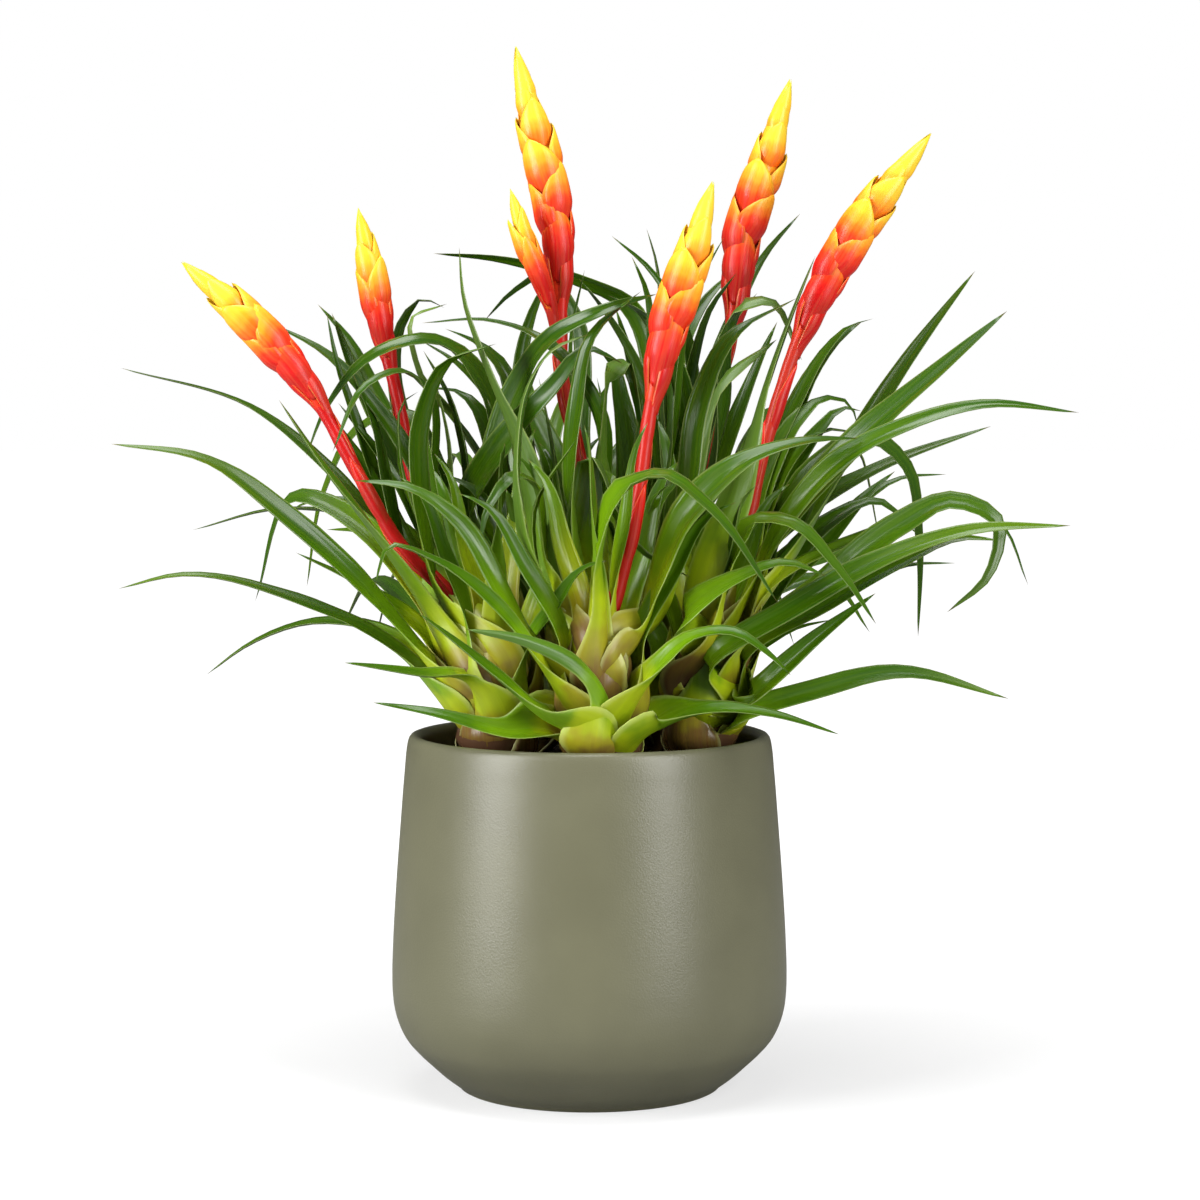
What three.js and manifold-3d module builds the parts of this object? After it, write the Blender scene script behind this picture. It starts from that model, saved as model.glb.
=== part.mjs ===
// Potted vriesea: six bromeliad rosettes with narrow arching leaves and red to yellow
// flower spikes, growing together in a round ceramic pot.
// Millimetres, +Z up, origin at the middle of the pot's underside. The front faces -Y.
// Azimuths are degrees round Z: 0 is the front, 90 the right (+X), -90 the left.

import * as THREE from 'three';
import { mergeVertices } from 'three/addons/utils/BufferGeometryUtils.js';
import Module from 'manifold-3d';

const wasm = await Module();
wasm.setup();

// Driving sizes
const potHeight = 145;
const footRadius = 54;
const bellyRadius = 80.8;
const bellyHeight = 46;
const mouthRadius = 74.2;
const wall = 6;
const floorThickness = 8;
const potSides = 32;
const gap = 0.3;
const soilLevel = 132;
const stubRadius = 6;
const stubDepth = 14;
const coreRadius = 16;
const coreHeight = 40;
const seatDepth = 10;
const scapeRadius = 2.7;
const leafThickness = 1.3;
const outerSheath = 29;
const innerSheath = 16;
const turnToFront = 0.7;
const leafClearance = 1.0;
const easingRounds = 70;
const stiffness = 0.5;
const rimReach = 56;
const rimClearance = 7;
const leafFineness = 0.12;
const bractFineness = 0.02;
const ownReach = 80;

// Plain vector sums on [x, y, z]
const add = (a, b) => [a[0] + b[0], a[1] + b[1], a[2] + b[2]];
const sub = (a, b) => [a[0] - b[0], a[1] - b[1], a[2] - b[2]];
const scale = (a, k) => [a[0] * k, a[1] * k, a[2] * k];
const dot = (a, b) => a[0] * b[0] + a[1] * b[1] + a[2] * b[2];
const cross = (a, b) => [
  a[1] * b[2] - a[2] * b[1],
  a[2] * b[0] - a[0] * b[2],
  a[0] * b[1] - a[1] * b[0],
];
const size = (a) => Math.sqrt(dot(a, a));
const unit = (a) => scale(a, 1 / Math.max(size(a), 1e-9));
const mix = (a, b, t) => a + (b - a) * t;
const clamp = (value, low, high) => Math.min(high, Math.max(low, value));
const smooth = (value) => {
  const t = clamp(value, 0, 1);
  return t * t * (3 - 2 * t);
};
const bearing = (degrees) => {
  const angle = degrees * Math.PI / 180;
  return [Math.sin(angle), -Math.cos(angle), 0];
};

// Seeded draw between 0 and 1: the fractional part of a large sine
const draw = (seed) => {
  const value = Math.sin(seed * 12.9898) * 43758.5453;
  return value - Math.floor(value);
};

// Where each plant stands on the soil
const plants = {
  left: [-38, -18],
  backleft: [-28, 35],
  middle: [3, 3],
  front: [5, -43],
  backright: [24, 42],
  right: [45, -4],
};

// The camera of the photograph, fitted to the outline of the pot
const photoMiddle = 600;
const pixelsAtOneMillimetre = 3200;
const cameraDistance = 1300;
const cameraHeight = 288;
const cameraTilt = 3.9 * Math.PI / 180;
const potAcross = 4.3;

// Place in whole millimetres of a pixel of the photograph at a chosen depth behind the
// pot's middle
const seen = (across, down, depth) => {
  const away = depth + cameraDistance;
  const [cos, sin] = [Math.cos(cameraTilt), Math.sin(cameraTilt)];
  const rise = (photoMiddle - down) / pixelsAtOneMillimetre;
  const above = away * (rise * cos - sin) / (cos + rise * sin);
  const scale = (away * cos - above * sin) / pixelsAtOneMillimetre;
  const x = Math.round((across - photoMiddle) * scale + potAcross);
  return [x, depth, Math.round(cameraHeight + above)];
};

// Leaves seen from the front: plant, height of the root on the core, azimuth of the root,
// width of the blade, then the points that the midrib passes, up to the tip. Each point is
// a pixel picked by eye on the photograph and a judged depth, or a place in millimetres
// where a leaf was moved clear of the rim.
const seenLeaves = [
  ['left', 6, -10, 13, seen(470, 688, -48), seen(420, 679, -62), seen(345, 663, -75)],
  ['left', 8, -75, 12, seen(400, 655, -20), seen(300, 602, -25), seen(180, 577, -30),
    seen(118, 590, -32)],
  ['left', 10, -100, 12, seen(390, 636, 10), seen(310, 625, 20), seen(250, 644, 26),
    seen(207, 675, 30)],
  ['left', 12, -60, 14, seen(400, 632, -30), seen(300, 530, -45), seen(200, 460, -55),
    seen(110, 443, -60)],
  ['left', 14, -85, 11, seen(420, 630, -5), seen(370, 592, -5), seen(296, 553, -5)],
  ['left', 16, -25, 15, seen(430, 615, -25), seen(370, 530, -30), seen(320, 462, -30),
    seen(280, 400, -28)],
  ['left', 18, -95, 9, seen(400, 565, 5), seen(330, 484, 8), seen(240, 413, 5),
    seen(114, 370, -3)],
  ['left', 20, -90, 10, seen(420, 560, 12), seen(350, 518, 18), seen(280, 512, 22),
    seen(196, 537, 25)],
  ['left', 26, 5, 15, seen(440, 600, -20), seen(418, 500, -24), seen(422, 415, -22),
    seen(447, 362, -18), seen(497, 345, -14)],
  ['left', 22, 25, 14, seen(465, 600, -14), seen(440, 520, -14), seen(424, 440, -12),
    seen(418, 400, -10)],
  ['left', 30, 10, 13, seen(430, 540, 2), seen(400, 450, 6), seen(408, 398, 6), seen(422, 392, 2)],
  ['backleft', 12, -100, 9, seen(400, 530, 32), seen(350, 503, 36), seen(310, 502, 38),
    seen(287, 513, 40)],
  ['backleft', 20, -20, 9, seen(430, 480, 10), seen(425, 395, 6), seen(400, 371, -4),
    seen(365, 387, -18), seen(333, 453, -30)],
  ['backleft', 26, 0, 14, seen(500, 500, 14), seen(478, 385, 10), seen(430, 348, 8),
    seen(370, 362, 6), seen(325, 412, 6), seen(301, 460, 6)],
  ['backleft', 14, -90, 11, seen(440, 480, 40), seen(400, 415, 45), seen(360, 430, 45),
    seen(325, 490, 42), seen(305, 588, 38)],
  ['backleft', 28, -120, 10, seen(430, 520, 50), seen(380, 400, 60), seen(345, 335, 62),
    seen(317, 305, 64)],
  ['backleft', 24, -60, 13, seen(440, 540, 40), seen(390, 450, 44), seen(352, 375, 46),
    seen(329, 313, 48)],
  ['backleft', 20, -100, 9, seen(450, 540, 30), seen(380, 410, 30), seen(330, 355, 25),
    seen(262, 318, 20)],
  ['backleft', 16, -30, 9, seen(430, 560, 15), seen(385, 465, 12), seen(340, 402, 8)],
  ['backleft', 30, 90, 12, seen(520, 500, 10), seen(532, 370, 8), seen(560, 325, 5),
    seen(610, 305, 2), seen(662, 296, 0)],
  ['backleft', 28, 60, 14, seen(500, 520, 0), seen(525, 435, -5), seen(560, 385, -8),
    seen(588, 350, -10), seen(625, 365, -8)],
  ['middle', 10, -60, 15, seen(560, 600, 24), seen(500, 520, 26), seen(450, 430, 26),
    seen(407, 372, 25), seen(403, 322, 26), seen(445, 305, 30)],
  ['middle', 24, -30, 9, seen(600, 520, 15), seen(585, 400, 12), seen(540, 355, 8),
    seen(480, 333, 5), seen(418, 327, 2)],
  ['middle', 26, 170, 11, seen(590, 450, 70), seen(575, 310, 75), seen(545, 275, 74),
    seen(510, 292, 72), seen(484, 320, 70)],
  ['middle', 22, -150, 13, seen(520, 480, 45), seen(505, 370, 48), seen(530, 310, 50),
    seen(552, 272, 52)],
  ['middle', 30, 0, 15, seen(605, 560, 10), seen(602, 440, 6), seen(606, 375, 2),
    seen(618, 358, -2), seen(645, 440, -12)],
  ['middle', 26, 60, 9, seen(640, 480, 25), seen(655, 350, 28), seen(650, 290, 29),
    seen(637, 256, 30)],
  ['front', 20, -60, 9, [-22, -48, 183], seen(500, 590, -55), seen(460, 522, -60),
    seen(410, 488, -62), seen(355, 479, -60)],
  ['front', 10, -42, 12, [-19, -60, 178], seen(490, 603, -65), seen(430, 558, -72),
    seen(390, 547, -76), seen(375, 590, -78)],
  ['front', 30, -20, 16, seen(560, 600, -25), seen(520, 450, -18), seen(485, 360, -14),
    seen(465, 300, -12), seen(459, 247, -10)],
  ['front', 26, -10, 15, seen(550, 620, -42), seen(520, 540, -48), seen(514, 460, -48),
    seen(528, 385, -44), seen(555, 345, -38), seen(590, 333, -32)],
  ['front', 36, 10, 14, seen(592, 600, -30), seen(575, 500, -28), seen(580, 400, -24),
    seen(592, 333, -20), seen(636, 290, -16)],
  ['front', 38, 30, 14, seen(660, 620, -40), seen(690, 500, -44), seen(703, 400, -42),
    seen(728, 342, -38), seen(797, 297, -34)],
  ['front', 40, 180, 17, seen(585, 600, -15), seen(590, 500, -18), seen(605, 450, -25),
    seen(627, 457, -36), seen(655, 510, -48), seen(695, 568, -58)],
  ['front', 24, 2, 15, [6, -62, 200], seen(603, 550, -70), seen(622, 492, -76),
    seen(660, 476, -80), seen(705, 505, -84), seen(778, 602, -86)],
  ['front', 0, 4, 11, [7, -64, 163], seen(590, 672, -70), seen(530, 642, -78),
    seen(466, 628, -84)],
  ['front', 2, -72, 11, [-34, -54, 152], [-60, -60, 160], [-84, -62, 164]],
  ['front', 2, -30, 14, [-18, -66, 158], [-34, -73, 173], seen(455, 643, -78),
    seen(418, 614, -82)],
  ['front', 11, 38, 13, [26, -62, 175], seen(695, 638, -66), seen(735, 634, -70),
    seen(765, 652, -72), seen(790, 677, -72)],
  ['front', 30, 35, 14, seen(640, 640, -48), seen(660, 580, -52), seen(685, 517, -52),
    seen(740, 463, -48), seen(800, 442, -42), seen(860, 440, -36)],
  ['front', 2, 60, 12, seen(660, 728, -52), seen(710, 711, -60), seen(770, 716, -66),
    seen(840, 748, -70)],
  ['front', 32, -30, 10, seen(545, 560, -20), seen(532, 482, -30), seen(508, 478, -45),
    seen(490, 508, -52), seen(481, 550, -54)],
  ['backright', 30, 165, 10, seen(660, 430, 60), seen(620, 300, 62), seen(580, 280, 62),
    seen(500, 258, 60), seen(433, 254, 56)],
  ['backright', 22, 10, 10, seen(660, 460, 20), seen(640, 370, 22), seen(605, 310, 24),
    seen(578, 278, 26)],
  ['backright', 20, 40, 13, seen(690, 440, 30), seen(665, 350, 32), seen(635, 312, 34),
    seen(605, 294, 36)],
  ['backright', 26, -50, 14, seen(650, 480, 45), seen(635, 380, 48), seen(615, 305, 50)],
  ['backright', 28, -40, 12, seen(655, 480, 35), seen(662, 340, 38), seen(657, 255, 40),
    seen(648, 228, 40)],
  ['backright', 20, -160, 13, seen(670, 480, 40), seen(690, 350, 55), seen(715, 305, 62),
    seen(742, 268, 66)],
  ['backright', 30, 150, 10, seen(690, 450, 60), seen(735, 310, 66), seen(765, 255, 68),
    seen(798, 212, 70)],
  ['backright', 26, 0, 15, seen(700, 520, 10), seen(725, 400, 12), seen(730, 330, 12),
    seen(745, 303, 10), seen(768, 297, 8), seen(805, 360, 0)],
  ['backright', 24, 30, 14, seen(690, 480, 0), seen(720, 390, 0), seen(785, 340, 0)],
  ['backright', 16, 90, 12, seen(740, 580, 10), seen(810, 508, 12), seen(880, 467, 14),
    seen(992, 425, 16)],
  ['backright', 20, 60, 15, seen(760, 580, 5), seen(830, 475, 0), seen(868, 438, -4),
    seen(897, 465, -8), seen(912, 530, -10), seen(917, 637, -12)],
  ['backright', 18, 110, 9, seen(760, 580, 45), seen(850, 510, 50), seen(900, 478, 52),
    seen(947, 475, 54)],
  ['backright', 14, 90, 13, seen(750, 610, 25), seen(820, 545, 28), seen(865, 497, 30),
    seen(897, 470, 30)],
  ['right', 30, 0, 18, seen(700, 600, -35), seen(735, 480, -35), seen(765, 380, -30),
    seen(795, 300, -24), seen(815, 255, -20)],
  ['right', 20, -10, 14, seen(715, 640, -36), seen(735, 555, -40), seen(758, 522, -44),
    seen(790, 524, -48), seen(835, 567, -52), seen(876, 624, -54)],
  ['right', 26, 20, 16, seen(690, 612, -52), seen(740, 577, -58), seen(785, 562, -60),
    seen(827, 575, -62)],
  ['right', 30, 40, 16, seen(780, 560, 0), seen(850, 440, 0), seen(910, 360, 0),
    seen(974, 272, 0)],
  ['right', 26, 30, 15, seen(780, 540, -20), seen(860, 440, -26), seen(940, 368, -30),
    seen(1007, 312, -32)],
  ['right', 24, 60, 10, seen(780, 530, -30), seen(840, 460, -36), seen(900, 428, -40),
    seen(980, 405, -42), seen(1078, 412, -44)],
  ['right', 16, 55, 14, seen(740, 650, -30), seen(820, 590, -36), seen(900, 527, -42),
    seen(955, 503, -46), seen(996, 520, -50), seen(988, 575, -52), seen(948, 612, -52)],
  ['right', 22, 80, 8, seen(760, 600, -8), seen(880, 530, -8), seen(960, 502, -10),
    seen(1000, 522, -12), seen(1029, 585, -14)],
  ['right', 12, 70, 13, seen(710, 662, -36), seen(790, 610, -44), seen(880, 560, -50),
    seen(970, 530, -54), seen(1070, 526, -56)],
  ['right', 10, 85, 12, seen(745, 655, -20), seen(820, 607, -24), seen(900, 562, -26),
    seen(960, 539, -28), seen(1003, 541, -30)],
  ['right', 8, 60, 13, seen(755, 697, -32), seen(810, 645, -38), seen(877, 592, -42)],
  ['right', 4, 75, 12, seen(740, 714, -28), seen(810, 692, -34), seen(900, 673, -38),
    seen(1010, 700, -41)],
];

// Leaves of the far side: plant, first azimuth, last azimuth, how many
const farLeaves = [
  ['left', -150, -115, 2],
  ['backleft', 135, 235, 7],
  ['backright', 105, 210, 7],
  ['right', 110, 155, 3],
];

// Flower spikes: plant, where the flower head begins along the stem (0 foot, 1 tip),
// half width of the head, bracts, then the points that the stem passes, up to the tip
const spikes = [
  ['left', 0.60, 9, 11, [-80, -12, 228], [-96, -10, 256], [-112, -8, 284],
    seen(247, 318, -8), seen(181, 262, -8)],
  ['backleft', 0.66, 7.6, 9, [-70, 33, 234], [-80, 33, 282], [-86, 34, 308], [-91, 34, 336],
    seen(358, 208, 34)],
  ['middle', 0.58, 9.5, 12, [2, 8, 216], [-12, 12, 301], [-13, 15, 346], seen(545, 170, 17),
    [-25, 19, 401], seen(515, 47, 20)],
  ['front', 0.55, 9.6, 11, [16, -44, 225], [20, -46, 248], [24, -46, 277], [31, -47, 309],
    [41, -48, 340], seen(712, 180, -48)],
  ['backright', 0.57, 10, 11, [46, 46, 247], [61, 50, 321], [64, 52, 348], [74, 54, 379],
    seen(790, 78, 55)],
  ['right', 0.57, 9.5, 12, [62, -3, 222], [72, -1, 265], [84, 0, 303], [106, 0, 346],
    seen(932, 134, 0)],
];
// The middle spike's second, smaller flower head
const sideBranch = [[-12, 12, 301], [-18, 6, 325], [-25, 3, 342], [-32, 2, 366]];

// Points of a far-side leaf: up from the plant, over and out, with drawn length and droop
function farLeaf(plant, azimuth, seed) {
  const [x, y] = plants[plant];
  const out = bearing(azimuth);
  const reach = mix(95, 145, draw(seed));
  const rise = mix(35, 120, draw(seed + 1));
  const droop = mix(-10, 45, draw(seed + 2));
  const steps = [[0.3, 0.5], [0.55, 0.88], [0.8, 1.0]];
  const points = steps.map(([along, up]) => (
    [x + out[0] * reach * along, y + out[1] * reach * along, soilLevel + 30 + rise * up]
  ));
  points.push([x + out[0] * reach, y + out[1] * reach, soilLevel + 30 + rise - droop]);
  const level = mix(4, 26, draw(seed + 3));
  return [plant, level, azimuth, mix(10, 14, draw(seed + 4)), ...points];
}

function allLeaves() {
  const leaves = seenLeaves.map((leaf) => leaf.slice());
  let seed = 1;
  for (const [plant, first, last, count] of farLeaves) {
    for (let k = 0; k < count; k += 1) {
      leaves.push(farLeaf(plant, mix(first, last, count > 1 ? k / (count - 1) : 0.5), seed));
      seed += 7;
    }
  }
  return leaves.map(([plant, level, azimuth, width, ...points]) => {
    const [x, y] = plants[plant];
    const foot = [x, y, soilLevel + 1 + level];
    const out = bearing(azimuth);
    const root = add(foot, scale(out, mix(9, 5, level / 40)));
    const collar = add(add(foot, scale(out, mix(21, 12, level / 40))), [0, 0, 15]);
    return { plant, level, width, out, points: [root, collar, ...points] };
  });
}

// Smooth curve through points: cubic pieces whose slopes at each point are weighted by the
// distances to its neighbours. Gives the point at distance s along the straight legs.
function curveThrough(points) {
  const last = points.length - 1;
  const legs = [];
  for (let i = 0; i < last; i += 1) {
    legs.push(size(sub(points[i + 1], points[i])));
  }
  const slope = (i) => {
    if (i === 0) {
      return scale(sub(points[1], points[0]), 1 / legs[0]);
    }
    if (i === last) {
      return scale(sub(points[last], points[last - 1]), 1 / legs[last - 1]);
    }
    const before = scale(sub(points[i], points[i - 1]), 1 / legs[i - 1]);
    const after = scale(sub(points[i + 1], points[i]), 1 / legs[i]);
    const share = legs[i - 1] / (legs[i - 1] + legs[i]);
    return add(scale(before, 1 - share), scale(after, share));
  };
  const slopes = points.map((point, i) => slope(i));
  const length = legs.reduce((sum, leg) => sum + leg, 0);
  const at = (distance) => {
    let i = 0;
    let s = clamp(distance, 0, length);
    while (i < last - 1 && s > legs[i]) {
      s -= legs[i];
      i += 1;
    }
    const t = clamp(s / legs[i], 0, 1);
    const t2 = t * t;
    const t3 = t2 * t;
    const parts = [
      scale(points[i], 2 * t3 - 3 * t2 + 1),
      scale(slopes[i], legs[i] * (t3 - 2 * t2 + t)),
      scale(points[i + 1], 3 * t2 - 2 * t3),
      scale(slopes[i + 1], legs[i] * (t3 - t2)),
    ];
    return { place: parts.reduce(add), knot: i, share: t };
  };
  return { length, at };
}

// Distances of the rows along a leaf: close together in the sheath, then even to the tip
const sheathRows = [0, 11, 27, 46];
const bladeStep = 36;

// Normal of the plane that the leaf bends in, leaning on the level side of its azimuth
function bendSide(leaf) {
  let area = [0, 0, 0];
  const [root] = leaf.points;
  for (let i = 1; i < leaf.points.length - 1; i += 1) {
    const leg = sub(leaf.points[i], root);
    area = add(area, cross(leg, sub(leaf.points[i + 1], root)));
  }
  const level = [-leaf.out[1], leaf.out[0], 0];
  const bend = scale(area, 1 / 6000);
  const strength = Math.min(size(bend), 2) / Math.max(size(bend), 1e-9);
  const sign = dot(bend, level) < 0 ? -1 : 1;
  return unit(add(level, scale(bend, strength * sign)));
}

// Rows of a leaf from root to tip, each with its place, directions and section sizes
function leafRows(leaf) {
  const curve = curveThrough(leaf.points);
  const distances = sheathRows.slice();
  const start = sheathRows[sheathRows.length - 1];
  const bladeRows = clamp(Math.round((curve.length - start) / bladeStep), 3, 8);
  for (let i = 1; i <= bladeRows; i += 1) {
    distances.push(mix(start, curve.length, i / bladeRows));
  }
  const spots = distances.map((s) => curve.at(s));
  const last = spots.length - 1;
  let across = bendSide(leaf);
  const sheath = mix(outerSheath, innerSheath, leaf.level / 40);
  return spots.map((spot, i) => {
    const ahead = spots[Math.min(i + 1, last)].place;
    const behind = spots[Math.max(i - 1, 0)].place;
    const along = unit(sub(ahead, behind));
    across = unit(sub(across, scale(along, dot(across, along))));
    const u = distances[i] / curve.length;
    const faced = add(cross(along, across), [0, -turnToFront * smooth(u / 0.4), 0]);
    const bladeAcross = unit(cross(faced, along));
    const taper = clamp((1 - u) / 0.45, 0, 1) ** 0.75;
    const blade = leaf.width * taper * mix(0.8, 1, clamp(u / 0.4, 0, 1));
    const swell = Math.exp(-(((distances[i] - 20) / 17) ** 2));
    const half = 0.5 * Math.max(blade, mix(blade, sheath, swell));
    const fold = mix(0.3, 0.5, swell) * half;
    return {
      place: spot.place,
      along,
      across: bladeAcross,
      face: cross(along, bladeAcross),
      half: i === 0 ? 4 : half,
      fold: i === 0 ? 1 : fold,
      thick: leafThickness * mix(1, 0.7, u),
      knot: spot.knot,
      share: spot.share,
      reach: distances[i],
    };
  });
}

// Short boxes that a row of leaf or stem sections fills, used to keep them apart
function boxesOf(rows, owner, plant, fixed) {
  const boxes = [];
  for (let i = 0; i < rows.length - 1; i += 1) {
    const a = rows[i];
    const b = rows[i + 1];
    const half = Math.max(a.half, b.half);
    const deep = 0.5 * (Math.max(a.fold, b.fold) + Math.max(a.thick, b.thick));
    const middle = scale(add(a.place, b.place), 0.5);
    const face = unit(add(a.face, b.face));
    boxes.push({
      owner,
      plant,
      fixed,
      middle: add(middle, scale(face, 0.5 * Math.max(a.fold, b.fold))),
      sides: [scale(sub(b.place, a.place), 0.5), scale(unit(add(a.across, b.across)), half),
        scale(face, deep)],
      knot: b.knot,
      share: b.share,
      reach: 0.5 * (a.reach + b.reach),
    });
  }
  return boxes;
}

// How readily a leaf gives way in X, Y and Z: mostly front to back
const yielding = [0.2, 1, 0.2];

// The cheapest push that parts two boxes, or null when they are clear of each other
function parting(first, second) {
  const between = sub(first.middle, second.middle);
  const axes = [[0, 1, 0], first.sides[2], second.sides[2], first.sides[1], second.sides[1],
    cross(first.sides[0], second.sides[0])];
  let best = null;
  for (const raw of axes) {
    if (size(raw) < 1e-6) {
      continue;
    }
    const axis = unit(raw);
    const away = dot(between, axis);
    const reach = [...first.sides, ...second.sides]
      .reduce((sum, side) => sum + Math.abs(dot(side, axis)), 0);
    const lack = reach + leafClearance - Math.abs(away);
    if (lack <= 0) {
      return null;
    }
    const give = axis.map((part, k) => part * yielding[k]);
    const ease = dot(axis, give);
    const cost = lack / Math.sqrt(ease);
    if (best === null || cost < best.cost) {
      best = { cost, push: scale(give, (away < 0 ? -1 : 1) * lack / ease) };
    }
  }
  return best.push;
}

// Eases the leaves apart round by round until their blades pass clear of one another.
// The two lowest points of each leaf, in its plant's heart, stay where they are.
function easeApart(leaves, stems) {
  for (let round = 0; round < easingRounds; round += 1) {
    const boxes = leaves.flatMap((leaf, k) => boxesOf(leafRows(leaf), k, leaf.plant, false));
    const all = boxes.concat(stems);
    const moves = leaves.map((leaf) => leaf.points.map(() => ({ sum: [0, 0, 0], weight: 0 })));
    const spans = all.map((box) => box.sides.reduce((sum, side) => sum + size(side), 0));
    const shift = (box, push) => {
      const knots = moves[box.owner];
      const shares = [[box.knot, 1 - box.share], [box.knot + 1, box.share]];
      for (const [knot, share] of shares) {
        knots[knot].sum = add(knots[knot].sum, scale(push, share));
        knots[knot].weight += share;
      }
    };
    for (let i = 0; i < boxes.length; i += 1) {
      for (let j = i + 1; j < all.length; j += 1) {
        const first = boxes[i];
        const second = all[j];
        if (first.owner === second.owner) {
          continue;
        }
        if (first.plant === second.plant && (first.reach < ownReach || second.reach < ownReach)) {
          continue;
        }
        if (size(sub(first.middle, second.middle)) > spans[i] + spans[j]) {
          continue;
        }
        const push = parting(first, second);
        if (push) {
          shift(first, scale(push, second.fixed ? 1 : 0.5));
          if (!second.fixed) {
            shift(second, scale(push, -0.5));
          }
        }
      }
    }
    leaves.forEach((leaf, k) => {
      const own = moves[k].map(({ sum, weight }) => scale(sum, 0.8 / Math.max(weight, 1)));
      leaf.points = leaf.points.map((point, i) => {
        if (i < 2) {
          return point;
        }
        const next = own[Math.min(i + 1, own.length - 1)];
        const near = scale(add(own[i - 1], next), (1 - stiffness) / 2);
        const [x, y, z] = add(point, add(scale(own[i], stiffness), near));
        return [x, y, Math.hypot(x, y) > rimReach ? Math.max(z, potHeight + rimClearance) : z];
      });
    });
  }
}

// Closed skin over rings of points; the last ring can close in one tip point
function skin(rings, tip) {
  const count = rings[0].length;
  const places = rings.flat();
  const faces = [];
  for (let r = 0; r < rings.length - 1; r += 1) {
    for (let i = 0; i < count; i += 1) {
      const a = r * count + i;
      const b = r * count + (i + 1) % count;
      const flip = i % 2 === 1;
      faces.push(flip ? [a, b, a + count] : [a, b, b + count]);
      faces.push(flip ? [b, b + count, a + count] : [a, b + count, a + count]);
    }
  }
  for (let i = 1; i < count - 1; i += 1) {
    faces.push([0, i + 1, i]);
  }
  const top = (rings.length - 1) * count;
  if (tip) {
    places.push(tip);
    for (let i = 0; i < count; i += 1) {
      faces.push([top + i, top + (i + 1) % count, places.length - 1]);
    }
  } else {
    for (let i = 1; i < count - 1; i += 1) {
      faces.push([top, top + i, top + i + 1]);
    }
  }
  return new wasm.Manifold(new wasm.Mesh({
    numProp: 3,
    vertProperties: Float32Array.from(places.flat()),
    triVerts: Uint32Array.from(faces.flat()),
  }));
}

// One leaf: a keeled strip with three corners a row, ending in a point
function leafSolid(leaf) {
  const rows = leafRows(leaf);
  const tip = rows.pop();
  const rings = rows.map((row) => {
    const raised = scale(row.face, row.fold);
    const side = scale(row.across, row.half);
    return [
      add(sub(row.place, side), raised),
      sub(row.place, scale(row.face, row.thick / 2)),
      add(add(row.place, side), raised),
    ];
  });
  return skin(rings, tip.place);
}

// Solid of a three.js geometry that is closed
function solidOf(geometry) {
  const bare = geometry.clone();
  bare.deleteAttribute('normal');
  bare.deleteAttribute('uv');
  const merged = mergeVertices(bare, 1e-4);
  return new wasm.Manifold(new wasm.Mesh({
    numProp: 3,
    vertProperties: Float32Array.from(merged.attributes.position.array),
    triVerts: Uint32Array.from(merged.index.array),
  }));
}

// Turned solid from [radius, height] pairs that start and end on the axis
function turned(profile, sides) {
  const outline = profile.map(([radius, height]) => new THREE.Vector2(radius, height));
  return new THREE.LatheGeometry(outline, sides).rotateX(Math.PI / 2);
}

// The largest body of a fused solid, without sealed hollows and loose scraps
function onePiece(solid) {
  const bodies = solid.decompose();
  return bodies.reduce((most, body) => (body.volume() > most.volume() ? body : most));
}

function geometryOf(solid) {
  const mesh = solid.getMesh();
  const geometry = new THREE.BufferGeometry();
  geometry.setAttribute('position', new THREE.BufferAttribute(mesh.vertProperties, 3));
  geometry.setIndex(new THREE.BufferAttribute(mesh.triVerts, 1));
  geometry.computeVertexNormals();
  return geometry;
}

// Pot: cone foot, round belly, slightly narrower mouth with a rounded rim, hollow inside
function potProfile() {
  const outer = [[0, 0], [footRadius - 1, 0], [footRadius, 0.6], [70.3, 15], [75.5, 20.9]];
  outer.push([79, 29], [bellyRadius, 40], [80.6, 56], [79, 84], [75.6, 128]);
  const rim = [];
  const rimRadius = wall / 2 - 0.2;
  for (let k = 0; k <= 4; k += 1) {
    const angle = Math.PI * k / 4;
    const round = rimRadius * Math.cos(angle);
    rim.push([mouthRadius - rimRadius + round, potHeight - rimRadius + rimRadius * Math.sin(angle)]);
  }
  const inner = [[79 - wall, 84], [bellyRadius - wall, 46], [66, 18], [54, floorThickness]];
  inner.push([0, floorThickness]);
  return [...outer, ...rim, ...inner];
}

// Soil: fills the pot to below the rim, with a blind hole for the stub of each plant
function soilSolid() {
  const profile = [[0, floorThickness + gap], [53, floorThickness + gap]];
  profile.push([65.2, 18.4], [bellyRadius - wall - 0.5, 46], [79 - wall - 0.5, 84]);
  profile.push([69, soilLevel - 3], [65, soilLevel], [0, soilLevel]);
  let soil = solidOf(turned(profile, potSides));
  for (const [x, y] of Object.values(plants)) {
    const hole = new THREE.CylinderGeometry(stubRadius + 3 * gap, stubRadius + 3 * gap, 29, 10);
    hole.rotateX(Math.PI / 2).translate(x, y, soilLevel);
    soil = soil.subtract(solidOf(hole));
  }
  return soil;
}

// A plant's short heart that its leaves grow from, with the stub that stands in the soil
function heartSolid(plant) {
  const [x, y] = plants[plant];
  const profile = [[0, -stubDepth], [stubRadius, -stubDepth], [stubRadius, 0.8]];
  profile.push([11, 3], [coreRadius, 13], [13, 26], [7, coreHeight], [0, coreHeight]);
  return solidOf(turned(profile, 10).translate(x, y, soilLevel));
}

// The stem's points, from its foot in the heart to the tip of the flower head
function stemPoints(spike) {
  const [plant, , , , ...points] = spike;
  const [x, y] = plants[plant];
  const foot = [x, y, soilLevel + coreHeight - seatDepth + gap];
  return [foot, [x, y, soilLevel + coreHeight], ...points];
}

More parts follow.
